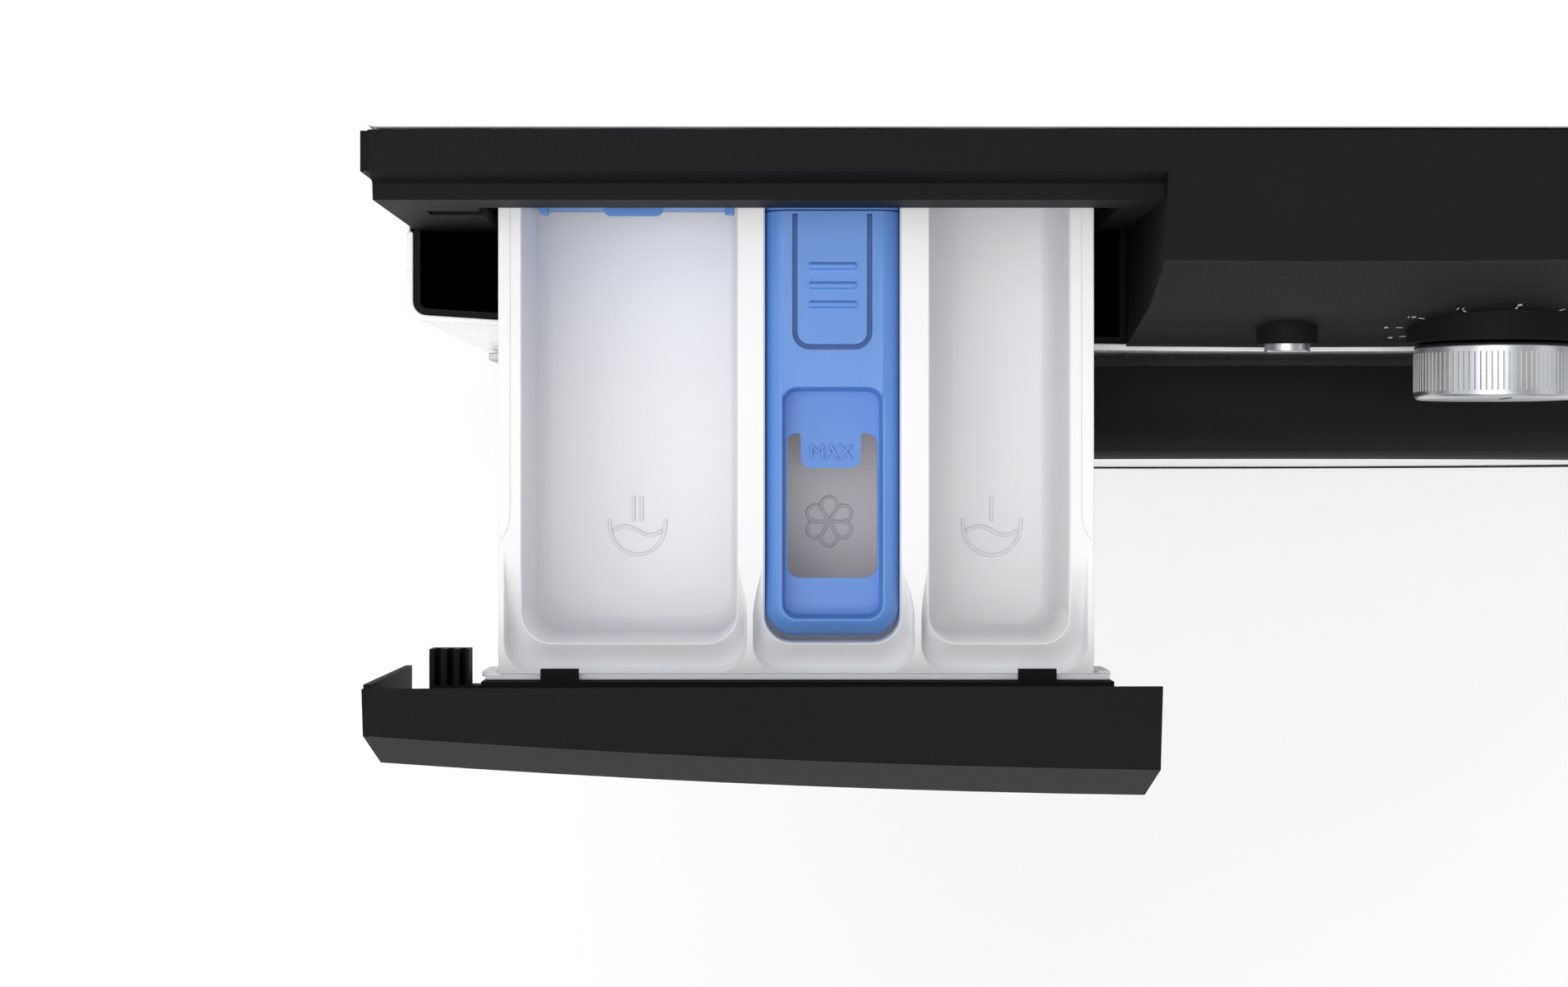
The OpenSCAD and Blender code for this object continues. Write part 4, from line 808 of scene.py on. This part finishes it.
# the springs are coils of drawn wire, fixed to the cabinet above and the tub below
coil, given = geometry_tree("coil_spring", Turns="NodeSocketFloat", Radius="NodeSocketFloat",
                            Height="NodeSocketFloat", Wire="NodeSocketFloat")
path = add(coil, "GeometryNodeCurveSpiral",
           {"Resolution": 24, "Rotations": given.outputs["Turns"], "Start Radius": given.outputs["Radius"],
            "End Radius": given.outputs["Radius"], "Height": given.outputs["Height"]})
section = add(coil, "GeometryNodeCurvePrimitiveCircle", {"Resolution": 10, "Radius": given.outputs["Wire"]})
wire = add(coil, "GeometryNodeCurveToMesh",
           {"Curve": path.outputs[0], "Profile Curve": section.outputs[0], "Fill Caps": True})
close(coil, wire.outputs[0], zinc)
spring_lo, spring_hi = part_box("springs")
both = bmesh.new()
for side in (spring_lo.x + 0.014, spring_hi.x - 0.014):
    one = grown("spring", coil, zinc, Turns=20.0, Radius=0.0118,
                Height=spring_hi.z - spring_lo.z - 0.005, Wire=0.0019)
    shape = one.data.copy()
    bpy.data.objects.remove(one)
    shape.transform(Matrix.Translation((side, (spring_lo.y + spring_hi.y) / 2, spring_lo.z + 0.0025)))
    both.from_mesh(shape)
coils = finished("spring_coils", both, zinc, sharp=60)
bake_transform(coils, "cabinet", "tub", start=(0, 0, spring_hi.z), end=(0, 0, spring_lo.z))
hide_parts("springs")

# ---- Drum ----
# A rolled and seamed stainless shell, its wall punched all over with small holes for the water.

sheet_wall, given = geometry_tree("perforated_wall", Around="NodeSocketInt", Along="NodeSocketInt",
                                  Pitch="NodeSocketFloat", Row="NodeSocketFloat", Hole="NodeSocketFloat")
square = add(sheet_wall, "GeometryNodeCurvePrimitiveQuadrilateral",
             {"Width": given.outputs["Pitch"], "Height": given.outputs["Row"]})
punch = add(sheet_wall, "GeometryNodeCurvePrimitiveCircle",
            {"Resolution": 12, "Radius": given.outputs["Hole"]})
both_curves = add(sheet_wall, "GeometryNodeJoinGeometry")
sheet_wall.links.new(square.outputs[0], both_curves.inputs[0])
sheet_wall.links.new(punch.outputs[0], both_curves.inputs[0])
tile = add(sheet_wall, "GeometryNodeFillCurve", {"Curve": both_curves.outputs[0]})
span_x = add(sheet_wall, "ShaderNodeMath",
             {0: given.outputs["Around"], 1: given.outputs["Pitch"]}, operation="MULTIPLY")
span_y = add(sheet_wall, "ShaderNodeMath",
             {0: given.outputs["Along"], 1: given.outputs["Row"]}, operation="MULTIPLY")
less_x = add(sheet_wall, "ShaderNodeMath",
             {0: span_x.outputs[0], 1: given.outputs["Pitch"]}, operation="SUBTRACT")
less_y = add(sheet_wall, "ShaderNodeMath",
             {0: span_y.outputs[0], 1: given.outputs["Row"]}, operation="SUBTRACT")
grid = add(sheet_wall, "GeometryNodeMeshGrid",
           {"Size X": less_x.outputs[0], "Size Y": less_y.outputs[0],
            "Vertices X": given.outputs["Around"], "Vertices Y": given.outputs["Along"]})
tiles = add(sheet_wall, "GeometryNodeInstanceOnPoints",
            {"Points": grid.outputs[0], "Instance": tile.outputs[0]})
close(sheet_wall, tiles.outputs[0], stainless)
shell_lo, shell_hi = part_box("drum_shell")
drum_r = (shell_hi.x - shell_lo.x) / 2 - 0.0006
holes_around, holes_along = 60, 12
wall_from, wall_to = shell_lo.y + 0.006, shell_hi.y
pitch = math.tau * drum_r / holes_around
row = (wall_to - wall_from) / holes_along
wall = grown("drum_wall", sheet_wall, stainless,
             Around=holes_around, Along=holes_along, Pitch=pitch, Row=row, Hole=0.0022)
bm = bmesh.new()
bm.from_mesh(wall.data)
bpy.data.objects.remove(wall)
bmesh.ops.remove_doubles(bm, verts=bm.verts, dist=1e-5)
bmesh.ops.solidify(bm, geom=bm.faces, thickness=0.0006)
centre_y = (wall_from + wall_to) / 2
for v in bm.verts:
    a = v.co.x / drum_r
    r = drum_r + v.co.z
    v.co = Vector((r * math.sin(a), centre_y + v.co.y, axis.z + r * math.cos(a)))
fit(finished("drum_wall_perforated", bm, stainless, sharp=40), "drum", "stainless")
front_section = [(236.6, -209.0), (236.6, -203.0), (235.8, -203.0), (234.6, -207.6), (180.4, -207.6),
                 (179.4, -204.0), (176.4, -204.0), (176.0, -206.0), (176.0, -210.5), (177.0, -211.8),
                 (178.6, -211.8), (179.6, -209.0)]
drum_rim = turned_piece("drum_front_ring", front_section, stainless)
fit(drum_rim, "drum", "stainless", "drum_shell")

# ---- Pump, hoses, valve and control module ----
# The drain pump sits at the front of the base; corrugated EPDM hoses feed and empty the tub.
# The inlet valve and the control module are fixed to the rear panel and behind the control panel.

# Nylon valve body: cool blue; board cover: light grey, vented
valve_nylon = surface("moulded_nylon", "4E7FB8", "4473AA", (0.4, 0.5), 1.2, 0.03, patch_mm=30)
board_grey = surface("flame_retardant_abs", "C4C6C6", "B9BBBB", (0.5, 0.6), 1.0, 0.04, patch_mm=50)
eased("drain_pump", white_pp, 0.6)
eased("filter_cap", black_abs, 0.5)
eased("drain_hose", rubber, 0.3)
eased("fill_hose", rubber, 0.3)
eased("inlet_valve", valve_nylon, 0.4)
eased("control_module", board_grey, 0.6)
eased("cable_gland", rubber, 0.3)


def corrugated(name, node, parts, cabinet_end, tub_end):
    """A bellows hose in place of a plain one: closed convolutions between its two cuffs."""
    lo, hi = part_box(node)
    centre = (lo + hi) / 2
    outer = (hi.x - lo.x) / 2
    span = hi.z - lo.z
    section = []
    steps = parts * 8
    for k in range(steps + 1):
        wave = (1 - math.cos(math.tau * parts * k / steps)) / 2
        section.append((outer - 0.0006 - 0.0019 * wave, lo.z + span * k / steps))
    section += [(r - 0.0016, z) for r, z in section[::-1]]
    bm = bmesh.new()
    around = 48
    rings = []
    for a in range(around):
        turn = math.tau * a / around
        rings.append([bm.verts.new((centre.x + r * math.cos(turn), centre.y + r * math.sin(turn), z))
                      for r, z in section])
    for k in range(around):
        near, far = rings[k], rings[(k + 1) % around]
        for i in range(len(section)):
            j = (i + 1) % len(section)
            bm.faces.new((near[i], near[j], far[j], far[i]))
    hose = finished(name, bm, rubber, sharp=60)
    at = [Vector((centre.x, centre.y, {"top": hi.z, "bottom": lo.z}[end])) for end in (cabinet_end, tub_end)]
    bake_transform(hose, "cabinet", "tub", start=tuple(at[0]), end=tuple(at[1]))
    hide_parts(node)


corrugated("sump_bellows", "sump_hose", 5, "bottom", "top")
corrugated("dispenser_bellows", "dispenser_hose", 4, "top", "bottom")

# ---- Screws and feet ----
# Zinc-plated pan-head screws with a cross recess hold the rear panel; rubber-shod feet level the machine.

screw_r = 0.0042
bm = bmesh.new()
rounds = 20
profile = [(1.0, 0.0), (1.0, 0.25), (0.93, 0.42), (0.75, 0.55), (0.45, 0.62)]
turns = [math.tau * k / rounds for k in range(rounds)]
rings = [[Vector((r * math.cos(t), r * math.sin(t), h)) * screw_r for t in turns] for r, h in profile]
made = skin(bm, rings)
arm, half_slot = 0.34, 0.1
cross = [(arm, -half_slot), (arm, half_slot), (half_slot, half_slot), (half_slot, arm), (-half_slot, arm),
         (-half_slot, half_slot), (-arm, half_slot), (-arm, -half_slot), (-half_slot, -half_slot),
         (-half_slot, -arm), (half_slot, -arm), (half_slot, -half_slot)]
recess = skin(bm, [[Vector((x, y, h)) * screw_r for x, y in cross] for h in (0.62, 0.2)], fill_last=True)
plate(bm, made[-1], recess[0])
bm.faces.new(made[0])
head = finished("screw_head", bm, zinc)

screws, given = geometry_tree("screws_on_points", Screw="NodeSocketObject", Lean="NodeSocketVector",
                              Width="NodeSocketFloat", Height="NodeSocketFloat",
                              Across="NodeSocketInt", Up="NodeSocketInt")
rows_tree = add(screws, "GeometryNodeMeshGrid",
                {"Size X": given.outputs["Width"], "Size Y": given.outputs["Height"],
                 "Vertices X": given.outputs["Across"], "Vertices Y": given.outputs["Up"]})
laid = add(screws, "GeometryNodeTransform",
           {"Geometry": rows_tree.outputs[0], "Rotation": given.outputs["Lean"]})
what = add(screws, "GeometryNodeObjectInfo", {"Object": given.outputs["Screw"]})
set_on = add(screws, "GeometryNodeInstanceOnPoints",
             {"Points": laid.outputs[0], "Instance": what.outputs["Geometry"],
              "Rotation": given.outputs["Lean"]})
close(screws, set_on.outputs[0], zinc)
rear_lo, rear_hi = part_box("rear_panel")
rear_face = rear_hi.y - 0.0038
lean = (-math.pi / 2, 0.0, 0.0)
columns = grown("rear_screw_columns", screws, zinc, Screw=head, Lean=lean, Across=2, Up=6,
                Width=rear_hi.x - rear_lo.x - 0.016, Height=rear_hi.z - rear_lo.z - 0.05)
columns.data.transform(Matrix.Translation((0, rear_face, (rear_lo.z + rear_hi.z) / 2)))
fit(columns, "cabinet", "galvanised")
bpy.data.objects.remove(head)
for node in ("foot_front_left", "foot_front_right", "foot_rear_left", "foot_rear_right"):
    eased(node, rubber, 0.6)
